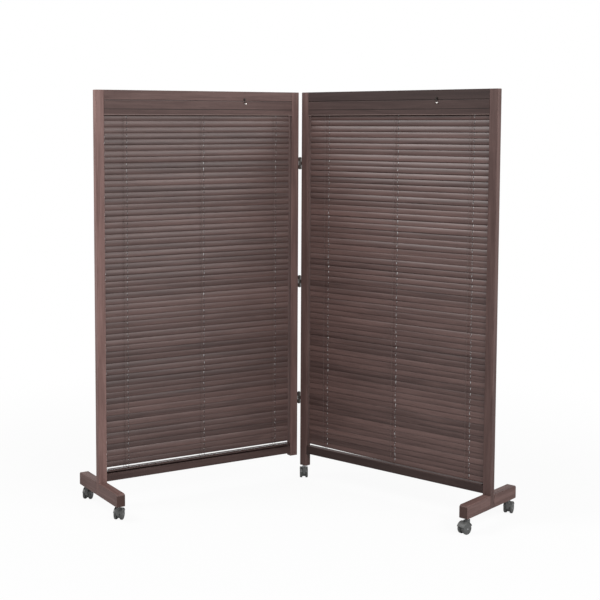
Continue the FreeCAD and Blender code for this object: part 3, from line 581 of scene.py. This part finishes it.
@dataclass(frozen=True)
class Moulded:
    """Moulded plastic or enamel with a fine grain and a faint mottle."""

    tint: Colour
    worn: Colour
    roughness: float
    grain: float = 2600.0
    mottle: float = 90.0
    mottle_range: Pair = (0.35, 0.75)
    mottle_share: float = 0.70
    grain_share: float = 0.20
    mottle_roughness: float = 0.12
    grain_roughness: float = 0.06
    relief_strength: float = 0.18

    def make(self, name: str) -> Material:
        """Makes the material.

        Args:
            name: Its name.

        Returns:
            The material.
        """
        made, nodes = new_finish(name)
        spot = nodes.spot()
        fine = nodes.noise(spot, (self.grain,) * 3)
        mottle = nodes.noise(spot, (self.mottle,) * 3, detail=4.0).step(*self.mottle_range)
        faded = mottle * self.mottle_share + fine * self.grain_share
        nodes.surface(
            {
                "Base Color": nodes.mix(faded, self.tint, self.worn),
                "Roughness": self.roughness + mottle * self.mottle_roughness + fine * self.grain_roughness,
                "Normal": nodes.relief(fine, self.relief_strength),
            }
        )
        return made


@dataclass(frozen=True)
class Braid:
    """Braided cord, with its plaits drawn along the cord's own length."""

    tint: Colour
    shade: Colour
    plait: float = 0.0016
    roughness: float = 0.86
    crest_polish: float = 0.12
    relief_strength: float = 0.5

    def make(self, name: str) -> Material:
        """Makes the material.

        Args:
            name: Its name.

        Returns:
            The material.
        """
        made, nodes = new_finish(name)
        along = nodes.value("ShaderNodeAttribute", {"attribute_name": "along"}, None, "Fac")
        phase = along * (2 * math.pi / self.plait)
        wave = nodes.value("ShaderNodeMath", {"operation": "SINE"}, {0: phase}) * 0.5 + 0.5
        nodes.surface(
            {
                "Base Color": nodes.mix(wave, self.shade, self.tint),
                "Roughness": self.roughness - wave * self.crest_polish,
                "Normal": nodes.relief(wave, self.relief_strength),
            }
        )
        return made


@dataclass
class Finishes:
    """Every finish of the screen, made once and shared by its pieces."""

    stain: WoodStain = field(default_factory=WoodStain)
    plain: dict[str, Material] = field(default_factory=dict)

    def __post_init__(self) -> None:
        """Makes the materials that several pieces share."""
        satin = replace(
            self.stain,
            dark=(0.050, 0.027, 0.024),
            middle=(0.112, 0.064, 0.057),
            roughness=0.36,
            shine=0.30,
            lacquer=0.07,
        )
        dowel = replace(
            self.stain,
            dark=(0.36, 0.24, 0.13),
            middle=(0.46, 0.32, 0.19),
            light=(0.55, 0.41, 0.26),
            pore=(0.25, 0.16, 0.08),
        )
        self.plain = {
            # The two panels' slats are toned apart partly as painted light and shade, the left darker than
            # the right.
            "left_slat_wood": satin.toned(0.82).slat("left_slat_wood"),
            "right_slat_wood": satin.toned(0.92).slat("right_slat_wood"),
            "dowel_wood": dowel.board("dowel_wood", Run.ACROSS, 0.0),
        }
        others = {
            "ladder_cord": Braid((0.100, 0.070, 0.063), (0.050, 0.033, 0.029)),
            "lift_cord": Braid((0.040, 0.025, 0.021), (0.016, 0.009, 0.008)),
            "hinge_steel": Metal((0.075, 0.066, 0.060), (0.024, 0.020, 0.018), 0.34),
            "screw_steel": Metal((0.62, 0.59, 0.55), (0.30, 0.27, 0.24), 0.28, (700.0, 700.0, 700.0)),
            "rod_steel": Metal((0.55, 0.55, 0.56), (0.30, 0.30, 0.31), 0.32, (60.0, 900.0, 900.0)),
            # The hook's pale lower end is a painted highlight
            "hook_steel": Metal(
                (0.050, 0.043, 0.040), (0.016, 0.013, 0.012), 0.30, (800.0, 800.0, 80.0), highlight_below=1.4570
            ),
            "caster_steel": Metal((0.58, 0.58, 0.60), (0.33, 0.33, 0.34), 0.27),
            "channel_enamel": Moulded((0.075, 0.046, 0.041), (0.098, 0.062, 0.056), 0.36, 1500.0),
            "works_plastic": Moulded((0.42, 0.39, 0.35), (0.36, 0.33, 0.29), 0.45),
            "caster_hood_plastic": Moulded((0.066, 0.067, 0.066), (0.092, 0.093, 0.091), 0.42),
            "caster_wheel_plastic": Moulded((0.052, 0.053, 0.052), (0.080, 0.081, 0.079), 0.55, 1900.0),
        }
        for name, finish in others.items():
            self.plain[name] = finish.make(name)

    def wear(self, node: str, finish: Material) -> None:
        """Gives a kept sub-part its finish.

        Args:
            node: The sub-part's name.
            finish: Its material.
        """
        mesh = frame["nodes"][node].data
        mesh.materials.clear()
        mesh.materials.append(finish)
        LOG.info("%s wears %s", node, finish.name)


# The screen


@dataclass(frozen=True)
class PanelPlace:
    """Where a panel stands. Its own frame runs along it in x, from front to back in y and up in z."""

    side: Side
    pin: Pair
    pin_along: float
    turn: float

    def to_row(self, points: np.ndarray) -> np.ndarray:
        """Turns points of the panel about the hinge pin into the row frame.

        Args:
            points: Points in the panel's frame, in metres.

        Returns:
            The same points in the row frame.
        """
        cos, sin = math.cos(self.turn), math.sin(self.turn)
        spin = np.array([[cos, -sin, 0.0], [sin, cos, 0.0], [0.0, 0.0, 1.0]])
        return (points - [self.pin_along, 0.0, 0.0]) @ spin.T + [*self.pin, 0.0]


@dataclass
class Woodwork:
    """The frame of one panel: posts, rails, foot and valance, with the dowels inside.

    Each board has a tone of its own: partly the boards' own stain, which no two take alike, and partly
    painted light and shade, lighter where a board is lit more and darker where it is lit less.
    """

    place: PanelPlace
    finishes: Finishes
    outer_post: float
    inner_post: float
    top_rail: float
    valance: float
    bottom_rail: float
    bottom_bar: float
    foot: float
    groove: Pair = (1.4322, 1.4344)
    # Height up to which a highlight is painted along the valance's lower edge
    valance_edge: float = 1.4142

    def dress(self) -> None:
        """Gives each board its grain along its length and its tone, which is partly painted light and
        shade.
        """
        runs = {
            "outer_post": Run.UPRIGHT,
            "inner_post": Run.UPRIGHT,
            "top_rail": Run.ACROSS,
            "bottom_rail": Run.ACROSS,
            "bottom_bar": Run.ACROSS,
            "foot": Run.FORWARD,
        }
        for label, run in runs.items():
            name = f"{self.place.side.value}_{label}"
            stain = self.finishes.stain.toned(getattr(self, label))
            self.finishes.wear(name, stain.board(f"{name}_wood", run, self.place.turn))
        name = f"{self.place.side.value}_valance"
        stain = self.finishes.stain.toned(self.valance)
        board = stain.grooved(f"{name}_wood", self.place.turn, self.groove, self.valance_edge)
        self.finishes.wear(name, board)
        self.finishes.wear(f"{self.place.side.value}_dowels", self.finishes.plain["dowel_wood"])


@dataclass
class Works:
    """The blind's works at the head of one panel, and the panel's half of the hinges."""

    place: PanelPlace
    finishes: Finishes

    def dress(self) -> None:
        """Gives the works and the hinge leaves their metals and plastics."""
        wears = {
            "head_channel": "channel_enamel",
            "tilt_rod": "rod_steel",
            "tilt_drums": "works_plastic",
            "drum_cradles": "works_plastic",
            "tilter_housing": "works_plastic",
            "tilter_hook": "hook_steel",
            "hinge_leaves": "hinge_steel",
            "hinge_screws": "screw_steel",
        }
        for label, finish in wears.items():
            self.finishes.wear(f"{self.place.side.value}_{label}", self.finishes.plain[finish])


@dataclass
class Blind:
    """The hanging part of one panel's blind: slats, ladder cords and lift cords.

    Sizes are in metres and tilts in degrees. A spread is the standard deviation of what differs from slat
    to slat, and the last fields hold what is drawn or worked out for each slat, from the top down.
    """

    place: PanelPlace
    finishes: Finishes
    seed: int
    top_slat: float
    spare_count: int
    stack_tilt: float
    tilt_spread: float
    twist_spread: float
    depth_spread: float
    end_lift: float
    lift_from: float
    slot_width: float
    lowest_gap: float
    slat_length: float = 0.766
    slat_width: float = 0.025
    slat_thickness: float = 0.0020
    slat_crown: float = 0.0018
    edge_steps: int = 6
    slat_pitch: float = 0.02105
    slat_tilt: float = 75.0
    closing: float = 4.5
    closing_rows: int = 8
    rise_spread: float = 0.0003
    lean_spread: float = 0.0004
    bow_spread: float = 0.0006
    tone_middle: float = 0.5
    tone_spread: float = 0.23
    outmost: float = 1.3
    grain_spread: float = 40.0
    lifted_rows: int = 3
    bend_spots: Pair = (-0.14, 0.17)
    crease: float = 40.0
    middle: float = 0.420
    mid_depth: float = 0.0125
    rail_top: float = 0.1325
    bar_height: float = 0.003
    bar_depth: float = 0.024
    stack_pitch: float = 0.0050
    ladder_offset: float = 0.311
    cord_offset: float = 0.014
    slot_length: float = 0.012
    string_size: float = 0.0011
    rung_size: float = 0.0008
    cord_size: float = 0.0014
    cord_gap: float = 0.0003
    cord_steps: int = 9
    string_sides: int = 6
    rung_sides: int = 4
    cord_sides: int = 8
    shoulder_rise: float = 0.0155
    drum_radius: float = 0.005
    drum_height: float = 1.46320
    channel_bottom: float = 1.456
    cradle_bottom: float = 1.457
    bar_level: float = field(init=False)
    stack_top: float = field(init=False)
    slat_count: int = field(init=False)
    level: np.ndarray = field(init=False)
    tilt: np.ndarray = field(init=False)
    twist: np.ndarray = field(init=False)
    back: np.ndarray = field(init=False)
    rise: np.ndarray = field(init=False)
    lean: np.ndarray = field(init=False)
    bow: np.ndarray = field(init=False)
    tone: np.ndarray = field(init=False)
    shift: np.ndarray = field(init=False)
    lifted: np.ndarray = field(init=False)

    def __post_init__(self) -> None:
        """Draws each slat's own lie: its tilt, twist, place and tone, the same in every run."""
        dice = np.random.default_rng(self.seed)
        turn = math.radians(self.stack_tilt)
        bar_rise = self.bar_depth / 2 * math.sin(turn) + self.bar_height / 2 * math.cos(turn)
        spare_rise = self.slat_width / 2 * math.sin(turn) + self.slat_thickness / 2 * math.cos(turn)
        self.bar_level = self.rail_top + bar_rise
        spare = self.bar_level + self.stack_pitch * np.arange(1, self.spare_count + 1)
        self.stack_top = max([self.bar_level + bar_rise, *(spare + spare_rise)])
        hung = self.hanging_levels()
        self.slat_count = len(hung)
        self.level = np.concatenate([hung, spare])
        count = len(self.level)
        hanging = np.arange(count) < self.slat_count
        closed = self.slat_tilt + self.closing
        self.tilt = np.where(hanging, closed + self.draw(dice, self.tilt_spread, count), -self.stack_tilt)
        self.twist = hanging * self.draw(dice, self.twist_spread, count)
        self.back = hanging * self.draw(dice, self.depth_spread, count)
        self.rise = hanging * self.draw(dice, self.rise_spread, count)
        self.lean = hanging * self.draw(dice, self.lean_spread, count)
        self.bow = hanging * self.draw(dice, self.bow_spread, count)
        self.tone = self.tone_middle + self.draw(dice, self.tone_spread, count)
        self.shift = dice.uniform(0.0, self.grain_spread, (count, 3))
        above_lowest = self.slat_count - 1 - np.arange(count)
        self.lifted = self.end_lift * hanging * np.clip(1.0 - above_lowest / self.lifted_rows, 0.0, 1.0)

    def draw(self, dice: np.random.Generator, spread: float, count: int) -> np.ndarray:
        """Draws a number for each slat about 0, none so far out that light shows between two slats.

        Args:
            dice: Where the numbers come from.
            spread: Their standard deviation.
            count: How many are drawn.

        Returns:
            The numbers.
        """
        return spread * np.clip(dice.normal(0.0, 1.0, count), -self.outmost, self.outmost)

    def hanging_levels(self) -> np.ndarray:
        """Heights of the hanging slats, from the top down: even steps, which close up in the lowest rows.

        Returns:
            The heights of the slats' middles.
        """
        lowest = self.stack_top + self.slat_drop(math.radians(self.slat_tilt)) + self.lowest_gap
        regular = round((self.top_slat - lowest) / self.slat_pitch) - self.closing_rows
        upper = self.top_slat - self.slat_pitch * np.arange(regular + 1)
        return np.concatenate([upper, np.linspace(upper[-1], lowest, self.closing_rows + 1)[1:]])

    @property
    def edge_drop(self) -> float:
        """How far the edges of a level slat reach down from its middle."""
        return self.slat_thickness / 2 + self.slat_crown

    @property
    def reach(self) -> float:
        """How far the strings stand from the slats' middle plane: just past the edge of a closed slat."""
        tilt = math.radians(self.slat_tilt)
        edge = self.slat_width / 2 * math.cos(tilt) + self.edge_drop * math.sin(tilt)
        return edge + self.rung_size + self.cord_gap

    def slat_drop(self, tilt: Amount) -> Amount:
        """How far a slat of this tilt in radians reaches down from its middle."""
        return self.slat_width / 2 * np.sin(tilt) + self.edge_drop * np.cos(tilt)

    def lie(self, along: np.ndarray) -> tuple[np.ndarray, np.ndarray, np.ndarray]:
        """Each slat's tilt, depth and height at places along it.

        The tilt changes evenly from end to end by the twist, the depth bows by a parabola, and the height
        leans evenly and rises or sinks towards the left end where the lowest slats don't lie level.

        Args:
            along: Distances from the slats' middle.

        Returns:
            Tilt in radians, depth and height, each an array of slats and places.
        """
        half = self.slat_length / 2
        share = (along / half)[None, :]
        tilt = np.radians(self.tilt[:, None] + self.twist[:, None] * share)
        depth = self.mid_depth + self.back[:, None] + self.bow[:, None] * (1.0 - share**2)
        catch = np.clip((self.lift_from - along) / (self.lift_from + half), 0.0, 1.0)[None, :]
        height = (self.level + self.rise)[:, None] + self.lean[:, None] * share
        return tilt, depth, height + self.lifted[:, None] * catch

    def stations(self) -> np.ndarray:
        """Places of the three ladders along the panel."""
        return self.middle + self.ladder_offset * np.array([-1.0, 0.0, 1.0])

    def section(self) -> tuple[np.ndarray, np.ndarray]:
        """A slat's section: straight between the slots' ends below and above, with two round edges.

        The whole section is crowned by a parabola: t = t0 - crown * (d / half)^2.

        Returns:
            Depth d from front to back and thickness t, along the outline from the underside.
        """
        half, thick, slot = self.slat_width / 2, self.slat_thickness / 2, self.slot_length / 2
        turn = np.radians(np.linspace(-90.0, 90.0, self.edge_steps + 1))
        edge_d, edge_t = half - thick + thick * np.cos(turn), thick * np.sin(turn)
        flat = slot * np.linspace(-1.0, 1.0, 4)
        across = np.concatenate([flat, edge_d, -flat, -edge_d])
        over = np.concatenate([np.full(4, -thick), edge_t, np.full(4, thick), -edge_t])
        return across, over - self.slat_crown * (across / half) ** 2

    def slat_faces(self, number: np.ndarray, open_at: np.ndarray) -> list[np.ndarray]:
        """Joins the slats' points to faces and leaves the slots open.

        Points 0 to 3 of the section lie along a slot below, and points top to top + 3 along it above.

        Args:
            number: The points' numbers, by slat, by place along it and by point of the section.
            open_at: The places along a slat after which a slot opens.

        Returns:
            Faces with four corners, faces with eight beside the slots, and the slats' ends.
        """
        top = self.edge_steps + 5
        after = np.roll(number, -1, axis=2)
        walls = np.stack([number[:, :-1], after[:, :-1], after[:, 1:], number[:, 1:]], -1)
        keep = np.ones(walls.shape[1:3], bool)
        keep[np.ix_(open_at, [0, 1, 2, top, top + 1, top + 2])] = False
        left, right = number[:, open_at], number[:, open_at + 1]
        rim = [0, 1, 2, 3, top, top + 1, top + 2, top + 3]
        back_rim = rim[:1] + rim[:0:-1]
        front = np.stack([left[..., 0], left[..., top + 3], right[..., top + 3], right[..., 0]], -1)
        rear = np.stack([left[..., 3], right[..., 3], right[..., top], left[..., top]], -1)
        return [
            np.concatenate([walls[:, keep].reshape(-1, 4), front.reshape(-1, 4), rear.reshape(-1, 4)]),
            np.concatenate([left[..., rim].reshape(-1, 8), right[..., back_rim].reshape(-1, 8)]),
            np.concatenate([number[:, 0, ::-1], number[:, -1, :]]),
        ]

    def slats(self) -> Piece:
        """Builds the slats: the section carried along each slat, with a slot for each lift cord.

        A section point (d, t) at a place x along a slat of tilt a stands at depth + d cos a - t sin a and
        at height + d sin a + t cos a, so that the front edge is down.

        Returns:
            The slats as one piece.
        """
        across, over = self.section()
        centres = self.stations() - self.middle + self.cord_offset
        edges = (centres[:, None] + self.slot_width / 2 * np.array([-1.0, 1.0])).ravel()
        ends = self.slat_length / 2 * np.array([-1.0, 1.0])
        along = np.sort(np.concatenate([ends, edges, self.bend_spots]))
        tilt, depth, height = (lie[..., None] for lie in self.lie(along))
        y = depth + across * np.cos(tilt) - over * np.sin(tilt)
        z = height + across * np.sin(tilt) + over * np.cos(tilt)
        x = np.broadcast_to((self.middle + along)[None, :, None], y.shape)
        faces = self.slat_faces(np.arange(y.size).reshape(y.shape), np.searchsorted(along, edges[::2]))
        side = self.place.side.value
        placed = self.place.to_row(np.stack([x, y, z], -1).reshape(-1, 3))
        wood = self.finishes.plain[f"{side}_slat_wood"]
        made = put_mesh(f"{side}_blind_slats", placed, faces, wood, self.crease)
        grain = np.stack([x, np.broadcast_to(across, y.shape), np.broadcast_to(over, y.shape)], -1)
        put_attribute(made, "grain", (grain + self.shift[:, None, None, :]).reshape(-1, 3))
        put_attribute(made, "tone", np.broadcast_to(self.tone[:, None, None], y.shape).ravel())
        return made

    def strings(self) -> np.ndarray:
        """Routes of the ladders' strings, one before the slats and one behind them at each station.

        They leave the drums, spread over the first rung and spread again past the spare slats.

        Returns:
            An array of strings, points along each and coordinates in the panel's frame.
        """
        gap, spots = self.cord_gap, self.stations()
        drop = self.slat_drop(math.radians(self.slat_tilt))
        shoulder = self.level[0] + self.shoulder_rise
        knee = self.level[self.slat_count - 1] - drop - 2 * (gap + self.rung_size / 2)
        drum, tail = self.drum_radius + gap, self.slat_width / 2 + gap
        route = np.array(
            [
                [drum, self.drum_height],
                [drum, self.channel_bottom],
                [self.reach, shoulder],
                [self.reach, (shoulder + knee) / 2],
                [self.reach, knee],
                [tail, self.stack_top + gap],
                [tail, self.rail_top + self.string_size],
            ]
        )
        depth = self.string_size / 2 + route[:, 0]
        paths = np.empty((len(spots), 2, len(route), 3))
        paths[..., 0] = spots[:, None, None]
        paths[..., 1] = self.mid_depth + np.array([-1.0, 1.0])[None, :, None] * depth
        paths[..., 2] = route[:, 1]
        return paths.reshape(-1, len(route), 3)

    def rungs(self) -> np.ndarray:
        """Routes of the ladders' rungs, one under each hanging slat at each station.

        A rung leaves the back string, runs down under its slat and turns under the slat's lower edge to the
        front string. At s up a slat of tilt a and o under it, it stands at depth + s cos a + o sin a and at
        height + s sin a - o cos a.

        Returns:
            An array of rungs, points along each and coordinates in the panel's frame.
        """
        spots, rung = self.stations(), self.rung_size / 2
        under = self.edge_drop + self.cord_gap + rung
        tilt, depth, height = (lie[: self.slat_count] for lie in self.lie(spots - self.middle))
        cos, sin = np.cos(tilt), np.sin(tilt)
        away = self.mid_depth - depth
        back, front = away + self.reach, away - self.reach
        top = (back - under * sin) / cos
        floor = -self.slat_drop(tilt) - self.cord_gap - rung
        low = (floor + under * cos) / sin
        y = depth[..., None] + np.stack([back, under * sin + low * cos, front], -1)
        z = height[..., None] + np.stack([top * sin - under * cos, floor, floor], -1)
        x = np.broadcast_to(spots[None, :, None], y.shape)
        return np.stack([x, y, z], -1).reshape(-1, 3, 3)

    def ladders(self) -> Piece:
        """Builds the ladder cords, strings and rungs together.

        Returns:
            The ladder cords as one piece.
        """
        points, faces, along = tubes(self.strings(), self.string_size / 2, self.string_sides)
        more, more_faces, more_along = tubes(self.rungs(), self.rung_size / 2, self.rung_sides)
        faces = faces + [rows + len(points) for rows in more_faces]
        name = f"{self.place.side.value}_blind_ladders"
        placed = self.place.to_row(np.concatenate([points, more]))
        made = put_mesh(name, placed, faces, self.finishes.plain["ladder_cord"])
        put_attribute(made, "along", np.concatenate([along, more_along]))
        return made

    def lift_cords(self) -> Piece:
        """Builds the straight cords that run through the slats' slots, from the cradles to the bottom bar.

        Returns:
            The lift cords as one piece.
        """
        levels = np.linspace(self.cradle_bottom, self.bar_level + self.bar_height / 2, self.cord_steps)
        spots = self.stations() + self.cord_offset
        paths = np.empty((len(spots), len(levels), 3))
        paths[..., 0] = spots[:, None]
        paths[..., 1] = self.mid_depth
        paths[..., 2] = levels
        points, faces, along = tubes(paths, self.cord_size / 2, self.cord_sides)
        name = f"{self.place.side.value}_blind_lift_cords"
        made = put_mesh(name, self.place.to_row(points), faces, self.finishes.plain["lift_cord"])
        put_attribute(made, "along", along)
        return made

    def build(self) -> None:
        """Builds the blind's pieces and sets them in the place of their plain solids."""
        side = self.place.side.value
        for made, node, slot in (
            (self.slats(), "slats", "slat_wood"),
            (self.ladders(), "ladder_cords", "cord"),
            (self.lift_cords(), "lift_cords", "cord"),
        ):
            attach(made, f"{side}_panel")
            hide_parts(f"{side}_{node}")


@dataclass
class Caster:
    """A twin-wheel swivel caster."""

    name: str
    finishes: Finishes

    def dress(self) -> None:
        """Gives the hood, the pins and the wheels their finishes."""
        plain = self.finishes.plain
        self.finishes.wear(f"{self.name}_hood", plain["caster_hood_plastic"])
        self.finishes.wear(f"{self.name}_pins", plain["caster_steel"])
        for wheel in ("near_wheel", "far_wheel"):
            self.finishes.wear(f"{self.name}_{wheel}", plain["caster_wheel_plastic"])


# The studio


@dataclass(frozen=True)
class Lamp:
    """A soft square lamp that looks at a point."""

    name: str
    spot: Point
    aim: Point
    size: float
    power: float
    tint: Colour = (1.0, 1.0, 1.0)

    def light(self) -> None:
        """Sets the lamp up."""
        data = bpy.data.lights.new(self.name, "AREA")
        data.shape, data.size, data.energy, data.color = "SQUARE", self.size, self.power, self.tint
        made = bpy.data.objects.new(self.name, data)
        made.location = self.spot
        way = np.array(self.aim) - np.array(self.spot)
        flat = math.hypot(way[0], way[1])
        made.rotation_euler = (math.atan2(flat, -way[2]), 0.0, math.atan2(-way[0], way[1]))
        bpy.context.scene.collection.objects.link(made)


@dataclass
class Studio:
    """A pale floor and backdrop, soft lamps and the camera. Lengths in metres, turns in degrees."""

    eye: Point = (0.2316, -4.4270, 1.3822)
    yaw: float = 6.11
    pitch: float = -4.85
    roll: float = 0.01
    lens: float = 73.86
    shift: Pair = (0.1183, -0.12)
    sensor: float = 36.0
    clip: Pair = (0.05, 200.0)
    floor_half: float = 30.0
    floor_white: float = 0.93
    floor_matt: float = 0.60
    fade: Pair = (0.9, 2.6)
    sky: float = 0.36
    lamps: tuple[Lamp, ...] = (
        Lamp("key_lamp", (2.4, -3.6, 2.8), (0.0, 0.0, 0.7), 2.2, 130.0),
        Lamp("left_lamp", (-2.1, -0.9, 3.0), (0.35, 0.0, 1.0), 1.3, 88.0),
        Lamp("right_lamp", (2.6, -1.0, 2.6), (-0.35, 0.0, 0.5), 1.3, 50.0),
    )

    def seen(self, nodes: Nodes, *rays: str) -> Value:
        """A mask of the kinds of rays that see the white of the backdrop.

        Args:
            nodes: The tree that it is added to.
            rays: The kinds of rays, by the names of their sockets.

        Returns:
            1 for these rays and 0 for all others.
        """
        path = nodes.node("ShaderNodeLightPath").outputs
        mask = Value(nodes, path[rays[0]])
        for ray in rays[1:]:
            mask = mask.maths("MAXIMUM", mask, Value(nodes, path[ray]))
        return mask

    def build(self) -> None:
        """Builds floor, sky, lamps and camera."""
        bpy.context.scene.view_settings.view_transform = "Standard"
        self.sky_light()
        self.floor()
        for lamp in self.lamps:
            lamp.light()
        self.camera()

    def camera(self) -> None:
        """Sets the camera up at the eye, turned by its yaw, then its pitch, then its roll."""
        scene = bpy.context.scene
        data = bpy.data.cameras.new("camera")
        data.sensor_width, data.lens = self.sensor, self.lens
        data.shift_x, data.shift_y = self.shift
        data.clip_start, data.clip_end = self.clip
        made = bpy.data.objects.new("camera", data)
        turn = Matrix.Rotation(math.radians(self.yaw), 4, "Z")
        nod = Matrix.Rotation(math.radians(90.0 + self.pitch), 4, "X")
        lean = Matrix.Rotation(math.radians(self.roll), 4, "Z")
        made.matrix_world = Matrix.Translation(self.eye) @ turn @ nod @ lean
        scene.collection.objects.link(made)
        scene.camera = made

    def sky_light(self) -> None:
        """A white backdrop that gives a softer light than it shows."""
        world = bpy.data.worlds.new("studio_sky")
        bpy.context.scene.world = world
        nodes = Nodes(world)
        seen = self.seen(nodes, "Is Camera Ray", "Is Glossy Ray", "Is Transmission Ray")
        soft, full = (
            nodes.node("ShaderNodeBackground", None, {"Color": WHITE, "Strength": strength}).outputs[0]
            for strength in (self.sky, 1.0)
        )
        both = nodes.node("ShaderNodeMixShader", None, {0: seen, 1: soft, 2: full})
        nodes.node("ShaderNodeOutputWorld", None, {"Surface": both.outputs[0]})

    def floor(self) -> None:
        """A white floor that keeps a faint shadow near the screen and runs into the backdrop far off."""
        finish, nodes = new_finish("studio_floor")
        matt = nodes.node("ShaderNodeBsdfDiffuse", None, {"Color": (*(self.floor_matt,) * 3, 1.0)})
        glow = nodes.node("ShaderNodeEmission", None, {"Color": WHITE, "Strength": 1.0})
        settings = {"operation": "LENGTH"}
        distance = nodes.value("ShaderNodeVectorMath", settings, {0: nodes.spot()}, "Value")
        far = distance.step(*self.fade)
        white = far * (1.0 - self.floor_white) + self.floor_white
        shown = self.seen(nodes, "Is Camera Ray", "Is Transmission Ray") * white
        share = shown + self.seen(nodes, "Is Glossy Ray") * far
        both = nodes.node("ShaderNodeMixShader", None, {0: share, 1: matt.outputs[0], 2: glow.outputs[0]})
        nodes.node("ShaderNodeOutputMaterial", None, {"Surface": both.outputs[0]})
        half = self.floor_half
        points = half * np.array([[-1.0, -1.0, 0.0], [1.0, -1.0, 0.0], [1.0, 1.0, 0.0], [-1.0, 1.0, 0.0]])
        put_mesh("studio_floor", points, [np.array([[0, 1, 2, 3]])], finish)


def main() -> None:
    """Builds the screen piece by piece and the studio round it."""
    logging.basicConfig(level=logging.INFO, format="%(name)s: %(message)s")
    joints = {joint["name"]: joint for joint in frame["joints"]}
    pin = tuple(joints["fold"]["pos_m"][:2])
    turn = math.radians(HALF_FOLD)
    left = PanelPlace(Side.LEFT, pin, PANEL_WIDTH + PIN_GAP, turn)
    right = PanelPlace(Side.RIGHT, pin, -PIN_GAP, -turn)
    finishes = Finishes()
    # Board tones are partly the stain's own differences and partly painted light and shade: the left
    # panel's boards, its outer post most, are toned lighter and the right panel's rails darker.
    Woodwork(
        left,
        finishes,
        outer_post=1.80,
        inner_post=1.25,
        top_rail=1.02,
        valance=0.80,
        bottom_rail=0.58,
        bottom_bar=0.70,
        foot=1.20,
    ).dress()
    Woodwork(
        right,
        finishes,
        outer_post=0.85,
        inner_post=1.00,
        top_rail=0.34,
        valance=0.48,
        bottom_rail=0.36,
        bottom_bar=0.60,
        foot=1.20,
    ).dress()
    for place in (left, right):
        Works(place, finishes).dress()
    finishes.wear("hinge_pins", finishes.plain["hinge_steel"])
    Blind(
        left,
        finishes,
        seed=11,
        top_slat=1.4253,
        spare_count=2,
        stack_tilt=14.0,
        tilt_spread=3.2,
        twist_spread=0.8,
        depth_spread=0.0006,
        end_lift=0.0014,
        lift_from=0.18,
        slot_width=0.0023,
        lowest_gap=0.0006,
    ).build()
    Blind(
        right,
        finishes,
        seed=27,
        top_slat=1.4284,
        spare_count=0,
        stack_tilt=0.0,
        tilt_spread=2.6,
        twist_spread=0.7,
        depth_spread=0.0004,
        end_lift=0.0039,
        lift_from=-0.097,
        slot_width=0.0028,
        lowest_gap=0.0036,
    ).build()
    for name in ("left_front", "left_rear", "right_front", "right_rear", "middle"):
        Caster(f"{name}_caster", finishes).dress()
    Studio().build()


if __name__ == "__main__":
    main()
